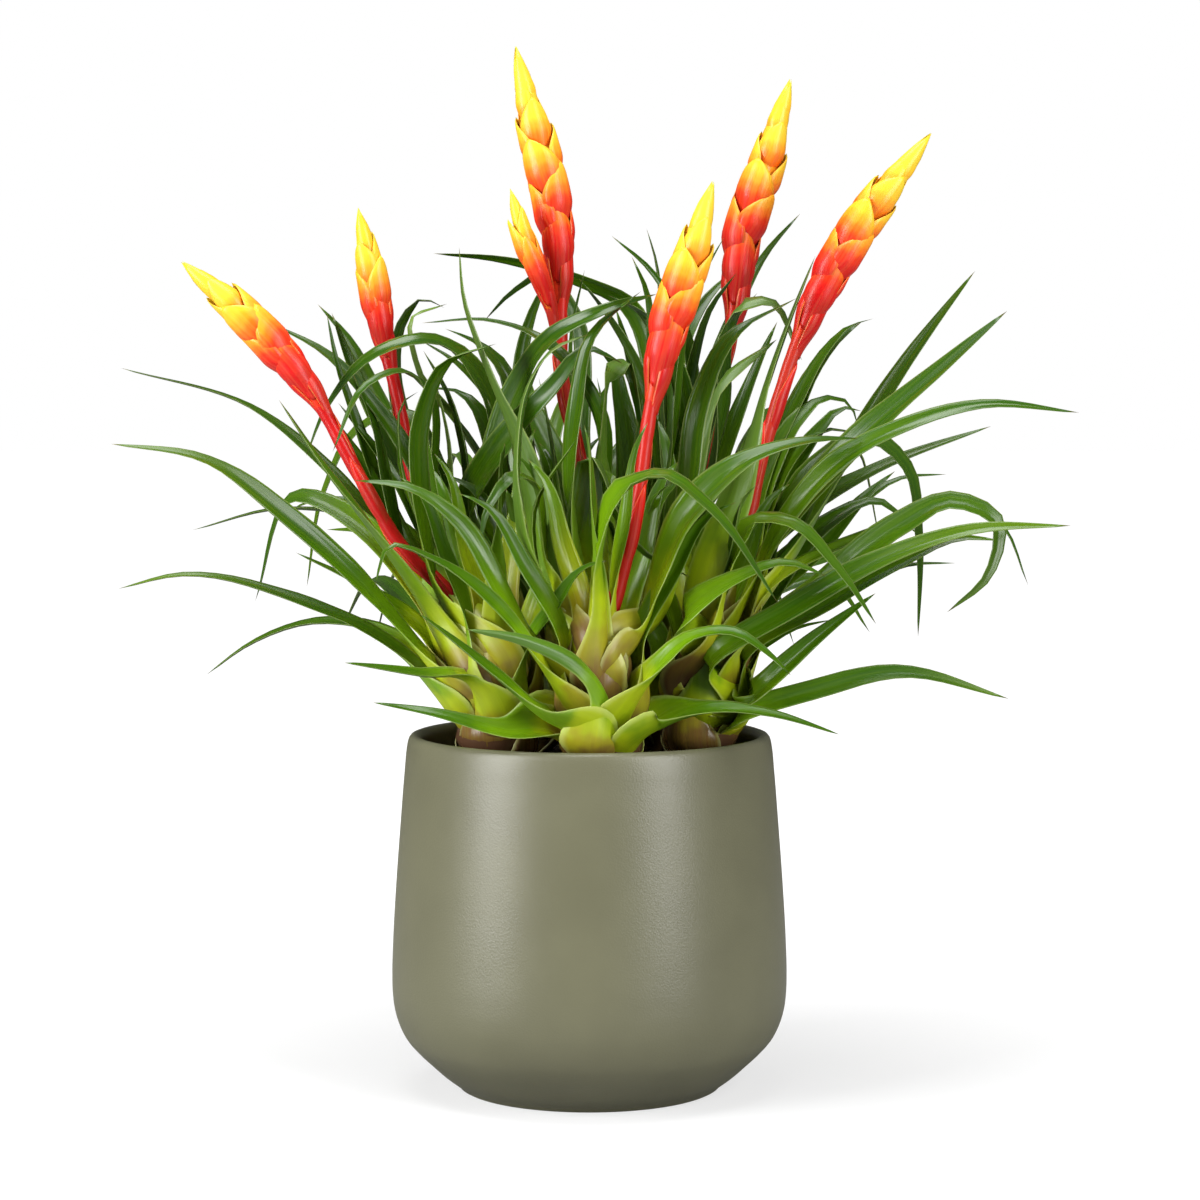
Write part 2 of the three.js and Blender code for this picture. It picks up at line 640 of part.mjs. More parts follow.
function rosetteSolid(plant, leaves) {
  const blades = leaves.filter((leaf) => leaf.plant === plant).map(leafSolid);
  const whole = wasm.Manifold.union([heartSolid(plant), ...blades]);
  const spike = spikes.find(([owner]) => owner === plant);
  const curve = curveThrough(stemPoints(spike));
  const [x, y, z] = curve.at(0).place;
  const seat = new THREE.CylinderGeometry(scapeRadius + 4 * gap, scapeRadius + 4 * gap, 8, 8);
  seat.rotateX(Math.PI / 2).translate(x, y, z + 4 - 4 * gap);
  const way = stemSolid(curve, curve.length * spike[1] + 8, scapeRadius + gap);
  return onePiece(whole.subtract(solidOf(seat)).subtract(way).simplify(leafFineness));
}

// Round stem along a curve, from distance 0 to an end distance
function stemSolid(curve, end, radius) {
  const count = 6;
  const places = [];
  for (let i = 0; i <= count; i += 1) {
    places.push(new THREE.Vector3(...curve.at(end * i / count).place));
  }
  const section = new THREE.Shape();
  section.absarc(0, 0, radius, 0, 2 * Math.PI);
  const extrudePath = new THREE.CatmullRomCurve3(places);
  const tube = new THREE.ExtrudeGeometry(section, { steps: count, curveSegments: 3, extrudePath });
  return solidOf(tube);
}

// Place on a stem and the direction out of it at an angle round it
function frameOn(curve, s, turn) {
  const place = curve.at(s).place;
  const along = unit(sub(curve.at(s + 1).place, curve.at(s - 1).place));
  const side = unit(sub([1, 0, 0], scale(along, along[0])));
  const out = add(scale(side, Math.cos(turn)), scale(cross(along, side), Math.sin(turn)));
  return { place, out, over: cross(along, out) };
}

// A boat-shaped bract that starts in the stem, cups round it and ends in a free point.
// Closing draws its upper part in to the stem, as on the youngest bracts.
function bractSolid(curve, start, length, turn, half, belly, closing) {
  const outline = [[0.06, 0.55, 0.5], [0.4, 1, 1], [0.76, 0.55, 0.97]];
  const rings = outline.map(([share, width, bulge]) => {
    const { place, out, over } = frameOn(curve, start + share * length, turn);
    const radius = belly * bulge * (1 - closing * share * share);
    const angle = Math.min(half * width / Math.max(radius, 1), 1);
    const edge = (sign) => add(place, add(
      scale(out, (radius - 0.5) * Math.cos(angle)),
      scale(over, sign * (radius - 0.5) * Math.sin(angle)),
    ));
    return [edge(-1), add(place, scale(out, radius + 0.6)), edge(1)];
  });
  const { place, out } = frameOn(curve, start + length, turn);
  return skin(rings, add(place, scale(out, belly * 0.8 * (1 - closing))));
}

// How full a flower head is along its length: slim at both ends
const fullness = (share) => 0.35 + 0.65 * Math.sin(Math.PI * (0.14 + 0.81 * share));

// Flower head: bracts in a spiral over a slim core, shorter towards the tip
function headSolids(curve, start, half, count) {
  const span = curve.length - start;
  const shares = [0.02, 0.35, 0.7];
  const core = shares.map((share) => {
    const radius = 0.62 * half * fullness(share - 0.1);
    return [0, 1, 2, 3].map((k) => {
      const { place, out } = frameOn(curve, start + share * span, k * Math.PI / 2);
      return add(place, scale(out, radius));
    });
  });
  const solids = [skin(core, curve.at(curve.length - 4).place)];
  for (let k = 0; k < count; k += 1) {
    const share = k / (count - 1);
    const length = mix(34, 22, share);
    const from = start + share * (span - 22);
    const narrow = fullness(share);
    const belly = (half - 1.2) * narrow;
    const closing = 0.85 * smooth((share - 0.55) / 0.45);
    solids.push(bractSolid(curve, from, length, 2.4 * k, half * narrow, belly, closing));
  }
  return solids;
}

function spikeSolid(spike, branch) {
  const [, headStart, half, count] = spike;
  const curve = curveThrough(stemPoints(spike));
  const parts = [stemSolid(curve, curve.length * headStart + 8, scapeRadius)];
  parts.push(...headSolids(curve, curve.length * headStart, half, count));
  if (branch) {
    const side = curveThrough(branch);
    parts.push(stemSolid(side, 20, scapeRadius * 0.8));
    parts.push(...headSolids(side, 8, half * 0.62, Math.round(count * 0.45)));
  }
  return onePiece(wasm.Manifold.union(parts).simplify(bractFineness));
}

// Boxes round a stem and its flower head that leaves have to pass clear of
function stemBoxes(points, plant, headStart, half, owner) {
  const curve = curveThrough(points);
  const count = 24;
  const rows = [];
  for (let i = 0; i <= count; i += 1) {
    const s = curve.length * i / count;
    const along = unit(sub(curve.at(s + 1).place, curve.at(s - 1).place));
    const across = unit(cross(along, [0, 1, 0]));
    const wide = i / count < headStart - 0.02 ? scapeRadius + gap : half + 1;
    const narrow = mix(wide, 3, smooth((i / count - 0.8) / 0.2));
    rows.push({
      place: curve.at(s).place,
      along,
      across,
      face: cross(along, across),
      half: i / count > 0.8 ? narrow : wide,
      fold: 0,
      thick: 2 * (i / count > 0.8 ? narrow : wide),
      knot: 0,
      share: 0,
      reach: s,
    });
  }
  return boxesOf(rows, owner, plant, true);
}

const plantNames = Object.keys(plants);
const leaves = allLeaves();
const stems = spikes.flatMap((spike, k) => (
  stemBoxes(stemPoints(spike), spike[0], spike[1], spike[2], -1 - k)
));
stems.push(...stemBoxes(sideBranch, 'middle', 0.1, 6, -3));
easeApart(leaves, stems);

const paint = (color, roughness) => new THREE.MeshStandardMaterial({ color, roughness, metalness: 0 });
const root = new THREE.Group();

function place(name, geometry, material) {
  const mesh = new THREE.Mesh(geometry, material);
  mesh.name = name;
  root.add(mesh);
}

place('pot', turned(potProfile(), potSides), paint(0x7d7d66, 0.75));
place('soil', geometryOf(soilSolid()), paint(0x2e2018, 0.95));
plantNames.forEach((plant) => {
  place(`rosette_${plant}`, geometryOf(rosetteSolid(plant, leaves)), paint(0x5d8a32, 0.4));
});
spikes.forEach((spike) => {
  const branch = spike[0] === 'middle' ? sideBranch : null;
  place(`spike_${spike[0]}`, geometryOf(spikeSolid(spike, branch)), paint(0xe0462a, 0.4));
});

export default root;
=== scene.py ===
# %% [markdown]
# # A potted vriesea
# Six bromeliad rosettes crowd one round ceramic pot. Narrow glossy leaves rise from cupped
# pale bases and arch over, and each plant sends up a red stem with a head of waxy bracts
# that turn from red through orange to lemon yellow.
# The measured solids are loaded first. They fix where every leaf, stem and wall lies. Each
# later piece follows the same rule as its solid, only with a finer grid of points.

# %% The measured frame
import math

import bpy
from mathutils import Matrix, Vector
import numpy as np


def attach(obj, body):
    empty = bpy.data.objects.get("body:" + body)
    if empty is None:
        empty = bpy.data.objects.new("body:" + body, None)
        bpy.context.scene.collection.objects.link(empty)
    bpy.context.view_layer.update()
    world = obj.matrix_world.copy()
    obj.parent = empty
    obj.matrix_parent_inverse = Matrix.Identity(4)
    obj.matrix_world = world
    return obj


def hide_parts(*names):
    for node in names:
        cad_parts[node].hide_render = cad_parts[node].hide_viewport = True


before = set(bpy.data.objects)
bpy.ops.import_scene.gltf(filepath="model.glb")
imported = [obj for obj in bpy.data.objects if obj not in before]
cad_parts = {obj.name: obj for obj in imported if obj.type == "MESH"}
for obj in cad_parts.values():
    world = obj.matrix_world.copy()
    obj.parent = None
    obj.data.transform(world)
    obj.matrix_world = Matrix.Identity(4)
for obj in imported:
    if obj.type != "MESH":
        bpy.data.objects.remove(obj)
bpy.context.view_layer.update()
MM = 0.001
print("solids:", sorted(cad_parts))

# %% [markdown]
# ## Camera
# The picture is taken from about 1.3 m in front, a little above the leaves, with a long
# lens, so that the pot's sides hardly converge. The lens is set for a 36 mm wide sensor.

# %% Camera
CAMERA_PLACE = (0.0043, -1.300, 0.288)
CAMERA_DOWN = 3.9
LENS = 96
SENSOR_WIDTH = 36
camera = bpy.data.objects.new("camera", bpy.data.cameras.new("camera"))
camera.data.lens = LENS
camera.data.sensor_width = SENSOR_WIDTH
camera.location = CAMERA_PLACE
camera.rotation_euler = (math.radians(90 - CAMERA_DOWN), 0, 0)
bpy.context.scene.collection.objects.link(camera)
bpy.context.scene.camera = camera
print("lens", LENS, "mm,", CAMERA_DOWN, "degrees down")

# %% [markdown]
# ## Where things are
# All sizes are in millimetres until a mesh is made. Azimuths are degrees round the pot:
# 0 is the front, 90 the right and -90 the left. A leaf's row gives its plant, how high on
# the heart it starts, its azimuth there, the width of its blade and the points that its
# midrib passes. A point is a pixel picked on the 1200 by 1200 photograph with a judged
# depth, which the camera turns into a place, or a place in millimetres where a leaf was
# moved clear of the rim. Leaves of the far side, which a viewer sees less of, are drawn by
# a rule.

# %% Plants, leaves and spikes
SOIL_LEVEL = 132
POT_HEIGHT = 145
HEART_HEIGHT = 40
SEAT_HEIGHT = 30
PHOTO_MIDDLE = 600
PIXELS_AT_ONE_MM = 2 * PHOTO_MIDDLE * LENS / SENSOR_WIDTH


def seen(across, down, depth):
    """Place in whole millimetres of a pixel of the photograph, depth behind the pot's middle.

    It is where the pixel's line of sight meets the upright plane at that depth.
    """
    middle, front, height = np.array(CAMERA_PLACE) / MM
    tilt, rise = math.radians(CAMERA_DOWN), (PHOTO_MIDDLE - down) / PIXELS_AT_ONE_MM
    away = depth - front
    above = away * (rise * math.cos(tilt) - math.sin(tilt))
    above /= math.cos(tilt) + rise * math.sin(tilt)
    far = away * math.cos(tilt) - above * math.sin(tilt)
    x = (across - PHOTO_MIDDLE) * far / PIXELS_AT_ONE_MM + middle
    return round(x), depth, round(height + above)


PLANTS = {
    "left": (-38, -18),
    "backleft": (-28, 35),
    "middle": (3, 3),
    "front": (5, -43),
    "backright": (24, 42),
    "right": (45, -4),
}
SEEN_LEAVES = [
    ("left", 6, -10, 13, seen(470, 688, -48), seen(420, 679, -62), seen(345, 663, -75)),
    ("left", 8, -75, 12, seen(400, 655, -20), seen(300, 602, -25), seen(180, 577, -30),
        seen(118, 590, -32)),
    ("left", 10, -100, 12, seen(390, 636, 10), seen(310, 625, 20), seen(250, 644, 26),
        seen(207, 675, 30)),
    ("left", 12, -60, 14, seen(400, 632, -30), seen(300, 530, -45), seen(200, 460, -55),
        seen(110, 443, -60)),
    ("left", 14, -85, 11, seen(420, 630, -5), seen(370, 592, -5), seen(296, 553, -5)),
    ("left", 16, -25, 15, seen(430, 615, -25), seen(370, 530, -30), seen(320, 462, -30),
        seen(280, 400, -28)),
    ("left", 18, -95, 9, seen(400, 565, 5), seen(330, 484, 8), seen(240, 413, 5),
        seen(114, 370, -3)),
    ("left", 20, -90, 10, seen(420, 560, 12), seen(350, 518, 18), seen(280, 512, 22),
        seen(196, 537, 25)),
    ("left", 26, 5, 15, seen(440, 600, -20), seen(418, 500, -24), seen(422, 415, -22),
        seen(447, 362, -18), seen(497, 345, -14)),
    ("left", 22, 25, 14, seen(465, 600, -14), seen(440, 520, -14), seen(424, 440, -12),
        seen(418, 400, -10)),
    ("left", 30, 10, 13, seen(430, 540, 2), seen(400, 450, 6), seen(408, 398, 6),
        seen(422, 392, 2)),
    ("backleft", 12, -100, 9, seen(400, 530, 32), seen(350, 503, 36), seen(310, 502, 38),
        seen(287, 513, 40)),
    ("backleft", 20, -20, 9, seen(430, 480, 10), seen(425, 395, 6), seen(400, 371, -4),
        seen(365, 387, -18), seen(333, 453, -30)),
    ("backleft", 26, 0, 14, seen(500, 500, 14), seen(478, 385, 10), seen(430, 348, 8),
        seen(370, 362, 6), seen(325, 412, 6), seen(301, 460, 6)),
    ("backleft", 14, -90, 11, seen(440, 480, 40), seen(400, 415, 45), seen(360, 430, 45),
        seen(325, 490, 42), seen(305, 588, 38)),
    ("backleft", 28, -120, 10, seen(430, 520, 50), seen(380, 400, 60), seen(345, 335, 62),
        seen(317, 305, 64)),
    ("backleft", 24, -60, 13, seen(440, 540, 40), seen(390, 450, 44), seen(352, 375, 46),
        seen(329, 313, 48)),
    ("backleft", 20, -100, 9, seen(450, 540, 30), seen(380, 410, 30), seen(330, 355, 25),
        seen(262, 318, 20)),
    ("backleft", 16, -30, 9, seen(430, 560, 15), seen(385, 465, 12), seen(340, 402, 8)),
    ("backleft", 30, 90, 12, seen(520, 500, 10), seen(532, 370, 8), seen(560, 325, 5),
        seen(610, 305, 2), seen(662, 296, 0)),
    ("backleft", 28, 60, 14, seen(500, 520, 0), seen(525, 435, -5), seen(560, 385, -8),
        seen(588, 350, -10), seen(625, 365, -8)),
    ("middle", 10, -60, 15, seen(560, 600, 24), seen(500, 520, 26), seen(450, 430, 26),
        seen(407, 372, 25), seen(403, 322, 26), seen(445, 305, 30)),
    ("middle", 24, -30, 9, seen(600, 520, 15), seen(585, 400, 12), seen(540, 355, 8),
        seen(480, 333, 5), seen(418, 327, 2)),
    ("middle", 26, 170, 11, seen(590, 450, 70), seen(575, 310, 75), seen(545, 275, 74),
        seen(510, 292, 72), seen(484, 320, 70)),
    ("middle", 22, -150, 13, seen(520, 480, 45), seen(505, 370, 48), seen(530, 310, 50),
        seen(552, 272, 52)),
    ("middle", 30, 0, 15, seen(605, 560, 10), seen(602, 440, 6), seen(606, 375, 2),
        seen(618, 358, -2), seen(645, 440, -12)),
    ("middle", 26, 60, 9, seen(640, 480, 25), seen(655, 350, 28), seen(650, 290, 29),
        seen(637, 256, 30)),
    ("front", 20, -60, 9, (-22, -48, 183), seen(500, 590, -55), seen(460, 522, -60),
        seen(410, 488, -62), seen(355, 479, -60)),
    ("front", 10, -42, 12, (-19, -60, 178), seen(490, 603, -65), seen(430, 558, -72),
        seen(390, 547, -76), seen(375, 590, -78)),
    ("front", 30, -20, 16, seen(560, 600, -25), seen(520, 450, -18), seen(485, 360, -14),
        seen(465, 300, -12), seen(459, 247, -10)),
    ("front", 26, -10, 15, seen(550, 620, -42), seen(520, 540, -48), seen(514, 460, -48),
        seen(528, 385, -44), seen(555, 345, -38), seen(590, 333, -32)),
    ("front", 36, 10, 14, seen(592, 600, -30), seen(575, 500, -28), seen(580, 400, -24),
        seen(592, 333, -20), seen(636, 290, -16)),
    ("front", 38, 30, 14, seen(660, 620, -40), seen(690, 500, -44), seen(703, 400, -42),
        seen(728, 342, -38), seen(797, 297, -34)),
    ("front", 40, 180, 17, seen(585, 600, -15), seen(590, 500, -18), seen(605, 450, -25),
        seen(627, 457, -36), seen(655, 510, -48), seen(695, 568, -58)),
    ("front", 24, 2, 15, (6, -62, 200), seen(603, 550, -70), seen(622, 492, -76),
        seen(660, 476, -80), seen(705, 505, -84), seen(778, 602, -86)),
    ("front", 0, 4, 11, (7, -64, 163), seen(590, 672, -70), seen(530, 642, -78),
        seen(466, 628, -84)),
    ("front", 2, -72, 11, (-34, -54, 152), (-60, -60, 160), (-84, -62, 164)),
    ("front", 2, -30, 14, (-18, -66, 158), (-34, -73, 173), seen(455, 643, -78),
        seen(418, 614, -82)),
    ("front", 11, 38, 13, (26, -62, 175), seen(695, 638, -66), seen(735, 634, -70),
        seen(765, 652, -72), seen(790, 677, -72)),
    ("front", 30, 35, 14, seen(640, 640, -48), seen(660, 580, -52), seen(685, 517, -52),
        seen(740, 463, -48), seen(800, 442, -42), seen(860, 440, -36)),
    ("front", 2, 60, 12, seen(660, 728, -52), seen(710, 711, -60), seen(770, 716, -66),
        seen(840, 748, -70)),
    ("front", 32, -30, 10, seen(545, 560, -20), seen(532, 482, -30), seen(508, 478, -45),
        seen(490, 508, -52), seen(481, 550, -54)),
    ("backright", 30, 165, 10, seen(660, 430, 60), seen(620, 300, 62), seen(580, 280, 62),
        seen(500, 258, 60), seen(433, 254, 56)),
    ("backright", 22, 10, 10, seen(660, 460, 20), seen(640, 370, 22), seen(605, 310, 24),
        seen(578, 278, 26)),
    ("backright", 20, 40, 13, seen(690, 440, 30), seen(665, 350, 32), seen(635, 312, 34),
        seen(605, 294, 36)),
    ("backright", 26, -50, 14, seen(650, 480, 45), seen(635, 380, 48), seen(615, 305, 50)),
    ("backright", 28, -40, 12, seen(655, 480, 35), seen(662, 340, 38), seen(657, 255, 40),
        seen(648, 228, 40)),
    ("backright", 20, -160, 13, seen(670, 480, 40), seen(690, 350, 55), seen(715, 305, 62),
        seen(742, 268, 66)),
    ("backright", 30, 150, 10, seen(690, 450, 60), seen(735, 310, 66), seen(765, 255, 68),
        seen(798, 212, 70)),
    ("backright", 26, 0, 15, seen(700, 520, 10), seen(725, 400, 12), seen(730, 330, 12),
        seen(745, 303, 10), seen(768, 297, 8), seen(805, 360, 0)),
    ("backright", 24, 30, 14, seen(690, 480, 0), seen(720, 390, 0), seen(785, 340, 0)),
    ("backright", 16, 90, 12, seen(740, 580, 10), seen(810, 508, 12), seen(880, 467, 14),
        seen(992, 425, 16)),
    ("backright", 20, 60, 15, seen(760, 580, 5), seen(830, 475, 0), seen(868, 438, -4),
        seen(897, 465, -8), seen(912, 530, -10), seen(917, 637, -12)),
    ("backright", 18, 110, 9, seen(760, 580, 45), seen(850, 510, 50), seen(900, 478, 52),
        seen(947, 475, 54)),
    ("backright", 14, 90, 13, seen(750, 610, 25), seen(820, 545, 28), seen(865, 497, 30),
        seen(897, 470, 30)),
    ("right", 30, 0, 18, seen(700, 600, -35), seen(735, 480, -35), seen(765, 380, -30),
        seen(795, 300, -24), seen(815, 255, -20)),
    ("right", 20, -10, 14, seen(715, 640, -36), seen(735, 555, -40), seen(758, 522, -44),
        seen(790, 524, -48), seen(835, 567, -52), seen(876, 624, -54)),
    ("right", 26, 20, 16, seen(690, 612, -52), seen(740, 577, -58), seen(785, 562, -60),
        seen(827, 575, -62)),
    ("right", 30, 40, 16, seen(780, 560, 0), seen(850, 440, 0), seen(910, 360, 0),
        seen(974, 272, 0)),
    ("right", 26, 30, 15, seen(780, 540, -20), seen(860, 440, -26), seen(940, 368, -30),
        seen(1007, 312, -32)),
    ("right", 24, 60, 10, seen(780, 530, -30), seen(840, 460, -36), seen(900, 428, -40),
        seen(980, 405, -42), seen(1078, 412, -44)),
    ("right", 16, 55, 14, seen(740, 650, -30), seen(820, 590, -36), seen(900, 527, -42),
        seen(955, 503, -46), seen(996, 520, -50), seen(988, 575, -52), seen(948, 612, -52)),
    ("right", 22, 80, 8, seen(760, 600, -8), seen(880, 530, -8), seen(960, 502, -10),
        seen(1000, 522, -12), seen(1029, 585, -14)),
    ("right", 12, 70, 13, seen(710, 662, -36), seen(790, 610, -44), seen(880, 560, -50),
        seen(970, 530, -54), seen(1070, 526, -56)),
    ("right", 10, 85, 12, seen(745, 655, -20), seen(820, 607, -24), seen(900, 562, -26),
        seen(960, 539, -28), seen(1003, 541, -30)),
    ("right", 8, 60, 13, seen(755, 697, -32), seen(810, 645, -38), seen(877, 592, -42)),
    ("right", 4, 75, 12, seen(740, 714, -28), seen(810, 692, -34), seen(900, 673, -38),
        seen(1010, 700, -41)),
]
# Young and inner leaves that only the dressed plants have
YOUNG_LEAVES = [
    ("middle", 20, -70, 8, seen(540, 520, 40), seen(500, 410, 42), seen(455, 362, 44),
        seen(417, 339, 46)),
    ("middle", 30, 40, 7, seen(580, 450, 28), seen(573, 330, 24), seen(584, 270, 22)),
    ("front", 28, -5, 8, seen(545, 600, -36), seen(532, 510, -40), seen(578, 436, -36)),
    ("backright", 24, -90, 7, seen(690, 450, 40), seen(680, 320, 42), seen(650, 268, 44),
        seen(611, 236, 46)),
    ("backright", 22, -20, 7, seen(670, 450, 10), seen(690, 310, 10), seen(708, 266, 10),
        seen(724, 237, 10)),
    ("backright", 8, 110, 6, seen(760, 650, 5), seen(795, 630, 6), seen(835, 619, 6)),
    ("right", 14, 100, 7, seen(770, 625, -8), seen(850, 588, -10), seen(910, 565, -10),
        seen(957, 563, -10)),
    ("right", 30, 60, 14, seen(775, 455, 20), seen(800, 400, 26), seen(828, 348, 28),
        seen(850, 327, 28), seen(873, 319, 26)),
    ("right", 26, 70, 12, seen(770, 470, 14), seen(800, 415, 20), seen(826, 399, 24),
        seen(848, 404, 26), seen(858, 428, 24)),
    ("right", 22, 85, 14, seen(765, 510, 10), seen(795, 455, 14), seen(820, 432, 16),
        seen(845, 430, 18), seen(860, 442, 18)),
    ("backleft", 24, -60, 7, seen(385, 500, 20), seen(352, 410, 14), seen(338, 365, 10),
        seen(327, 312, 8)),
    ("backleft", 32, -20, 13, seen(402, 430, 46), seen(393, 365, 50), seen(402, 320, 52),
        seen(420, 299, 52), seen(444, 307, 50)),
    ("middle", 34, -80, 14, seen(505, 520, 30), seen(490, 440, 36), seen(470, 402, 40),
        seen(446, 389, 42), seen(424, 392, 40)),
    ("middle", 34, 60, 15, seen(635, 520, 28), seen(630, 450, 32), seen(622, 395, 34),
        seen(610, 356, 34), seen(590, 350, 32)),
    ("backright", 30, -40, 11, seen(682, 430, 36), seen(694, 355, 36), seen(710, 308, 36),
        seen(736, 273, 38)),
    ("middle", 36, -20, 13, seen(566, 590, 18), seen(558, 500, 20), seen(548, 430, 22),
        seen(538, 378, 24)),
    ("middle", 30, 30, 13, seen(606, 590, 24), seen(612, 500, 26), seen(608, 430, 28),
        seen(598, 376, 30)),
    ("backright", 34, 60, 14, seen(715, 590, 22), seen(735, 520, 26), seen(760, 455, 28),
        seen(796, 415, 30)),
    ("backleft", 34, 30, 13, seen(455, 590, 20), seen(450, 510, 24), seen(446, 440, 26),
        seen(434, 380, 28)),
    ("backright", 28, 20, 13, seen(715, 420, 40), seen(722, 360, 40), seen(735, 320, 40),
        seen(757, 293, 40)),
    ("left", 30, -30, 12, seen(400, 560, 6), seen(385, 480, 10), seen(372, 420, 14),
        seen(352, 375, 16)),
    ("backright", 30, 40, 14, seen(716, 480, 34), seen(738, 415, 34), seen(760, 360, 34),
        seen(777, 322, 34)),
    ("right", 34, 50, 14, seen(768, 478, 28), seen(792, 418, 30), seen(814, 372, 32),
        seen(836, 342, 32), seen(862, 322, 30)),
    ("right", 20, 80, 13, seen(772, 508, 12), seen(798, 458, 16), seen(820, 427, 18),
        seen(843, 408, 20), seen(862, 410, 18)),
    ("middle", 34, -50, 13, seen(525, 470, 26), seen(514, 410, 28), seen(500, 366, 30),
        seen(476, 342, 32), seen(444, 328, 32)),
    ("backleft", 30, 25, 13, seen(474, 510, 26), seen(464, 440, 28), seen(448, 388, 30),
        seen(424, 350, 30)),
    ("left", 26, -70, 10, seen(400, 540, 14), seen(366, 470, 16), seen(340, 430, 18),
        seen(318, 398, 18)),
]
# Far side: plant, first azimuth, last azimuth, how many
FAR_LEAVES = [
    ("left", -150, -115, 2),
    ("backleft", 135, 235, 7),
    ("backright", 105, 210, 7),
    ("right", 110, 155, 3),
]
# Spikes: plant, where the head begins along the stem, half width, bracts, stem points
SPIKES = [
    ("left", 0.60, 9, 11, (-80, -12, 228), (-96, -10, 256), (-112, -8, 284),
        seen(247, 318, -8), seen(181, 262, -8)),
    ("backleft", 0.66, 7.6, 9, (-70, 33, 234), (-80, 33, 282), (-86, 34, 308),
        (-91, 34, 336), seen(358, 208, 34)),
    ("middle", 0.58, 9.5, 12, (2, 8, 216), (-12, 12, 301), (-13, 15, 346), seen(545, 170, 17),
        (-25, 19, 401), seen(515, 47, 20)),
    ("front", 0.55, 9.6, 11, (16, -44, 225), (20, -46, 248), (24, -46, 277), (31, -47, 309),
        (41, -48, 340), seen(712, 180, -48)),
    ("backright", 0.57, 10, 11, (46, 46, 247), (61, 50, 321), (64, 52, 348), (74, 54, 379),
        seen(790, 78, 55)),
    ("right", 0.57, 9.5, 12, (62, -3, 222), (72, -1, 265), (84, 0, 303), (106, 0, 346),
        seen(932, 134, 0)),
]
SIDE_BRANCH = [(-12, 12, 301), (-18, 6, 325), (-25, 3, 342), (-32, 2, 366)]
print(len(SEEN_LEAVES) + len(YOUNG_LEAVES), "traced leaves,", len(SPIKES), "spikes")

# %% [markdown]
# ## Small sums
# The same few blends serve every piece: a straight mix, a soft step, and a seeded draw that
# always gives the same number between 0 and 1 for the same seed. A drawn angle goes nearly
# all the way round, up to 6.28 radians.

# %% Blends and draws
NEARLY_ROUND = 6.28


def mix(a, b, t):
    """a at t = 0, b at t = 1, straight between."""
    return a + (b - a) * t


def smooth(t):
    """A soft step: 3 t^2 - 2 t^3, with t held between 0 and 1."""
    t = np.clip(t, 0, 1)
    return t * t * (3 - 2 * t)


def draw(seed):
    """The fractional part of 43758.5453 sin(12.9898 seed)."""
    value = np.sin(np.asarray(seed, float) * 12.9898) * 43758.5453
    return value - np.floor(value)


def unit(vectors):
    """Each vector divided by its own length."""
    vectors = np.asarray(vectors, float)
    length = np.linalg.norm(vectors, axis=-1, keepdims=True)
    return vectors / np.maximum(length, 1e-9)


def bearing(azimuth):
    """The level direction (sin, -cos, 0) of an azimuth in degrees."""
    angle = math.radians(azimuth)
    return np.array([math.sin(angle), -math.cos(angle), 0.0])


print("four draws:", draw([1, 2, 3, 4]).round(3))

# %% [markdown]
# ## A curve through points
# A midrib or a stem is a smooth curve through a handful of points. Each piece between two
# points is a cubic, whose slopes at its ends are means of the straight legs beside them,
# weighted by how near they are. A spline tool could do this, but the solids used this
# curve, and the dressed leaf has to lie in the same place.

# %% Curve


class Curve:
    """Cubic pieces through points; distances run along the straight legs between them."""

    def __init__(self, points):
        self.points = np.array(points, float)
        step = np.diff(self.points, axis=0)
        self.legs = np.linalg.norm(step, axis=1)
        self.length = self.legs.sum()
        lean = step / self.legs[:, None]
        share = (self.legs[:-1] / (self.legs[:-1] + self.legs[1:]))[:, None]
        inner = mix(lean[:-1], lean[1:], share)
        self.slopes = np.vstack([lean[:1], inner, lean[-1:]])
        self.starts = np.concatenate([[0], np.cumsum(self.legs)[:-1]])

    def at(self, distances):
        """Places, the leg that each lies on, and the share of that leg already passed."""
        s = np.clip(np.atleast_1d(np.asarray(distances, float)), 0, self.length)
        leg = np.clip(np.searchsorted(self.starts, s, side="left") - 1, 0, len(self.legs) - 1)
        long = self.legs[leg]
        t = np.clip((s - self.starts[leg]) / long, 0, 1)
        t1, t2, t3, d = t[:, None], t[:, None] ** 2, t[:, None] ** 3, long[:, None]
        place = self.points[leg] * (2 * t3 - 3 * t2 + 1)
        place += self.slopes[leg] * d * (t3 - 2 * t2 + t1)
        place += self.points[leg + 1] * (3 * t2 - 2 * t3)
        place += self.slopes[leg + 1] * d * (t3 - t2)
        return place, leg, t

    def along(self, distances):
        """Unit direction of the curve, from the places 1 mm behind and ahead."""
        s = np.atleast_1d(np.asarray(distances, float))
        return unit(self.at(s + 1)[0] - self.at(s - 1)[0])


print("a curve's length:", round(Curve(SIDE_BRANCH).length, 1), "mm")

# %% [markdown]
# ## Every leaf's midrib
# A leaf starts at its root in the heart, passes a collar 15 mm higher and then follows its
# own points. Far-side leaves rise, arch over and droop by drawn amounts.

# %% Leaves
ROOT_LIFT = 1
COLLAR_RISE = 15
# Ranges in millimetres that the far leaves are drawn from
FAR_REACH, FAR_RISE, FAR_DROOP = (95, 145), (35, 120), (-10, 45)
FAR_LEVEL, FAR_WIDTH = (4, 26), (10, 14)


def risen(plant, azimuth, reach, rise, steps):
    """Points at shares of a reach along the azimuth and of a rise above the heart."""
    foot, out = np.array([*PLANTS[plant], SOIL_LEVEL + SEAT_HEIGHT]), bearing(azimuth)
    return [foot + out * reach * far + np.array([0, 0, rise * up]) for far, up in steps]


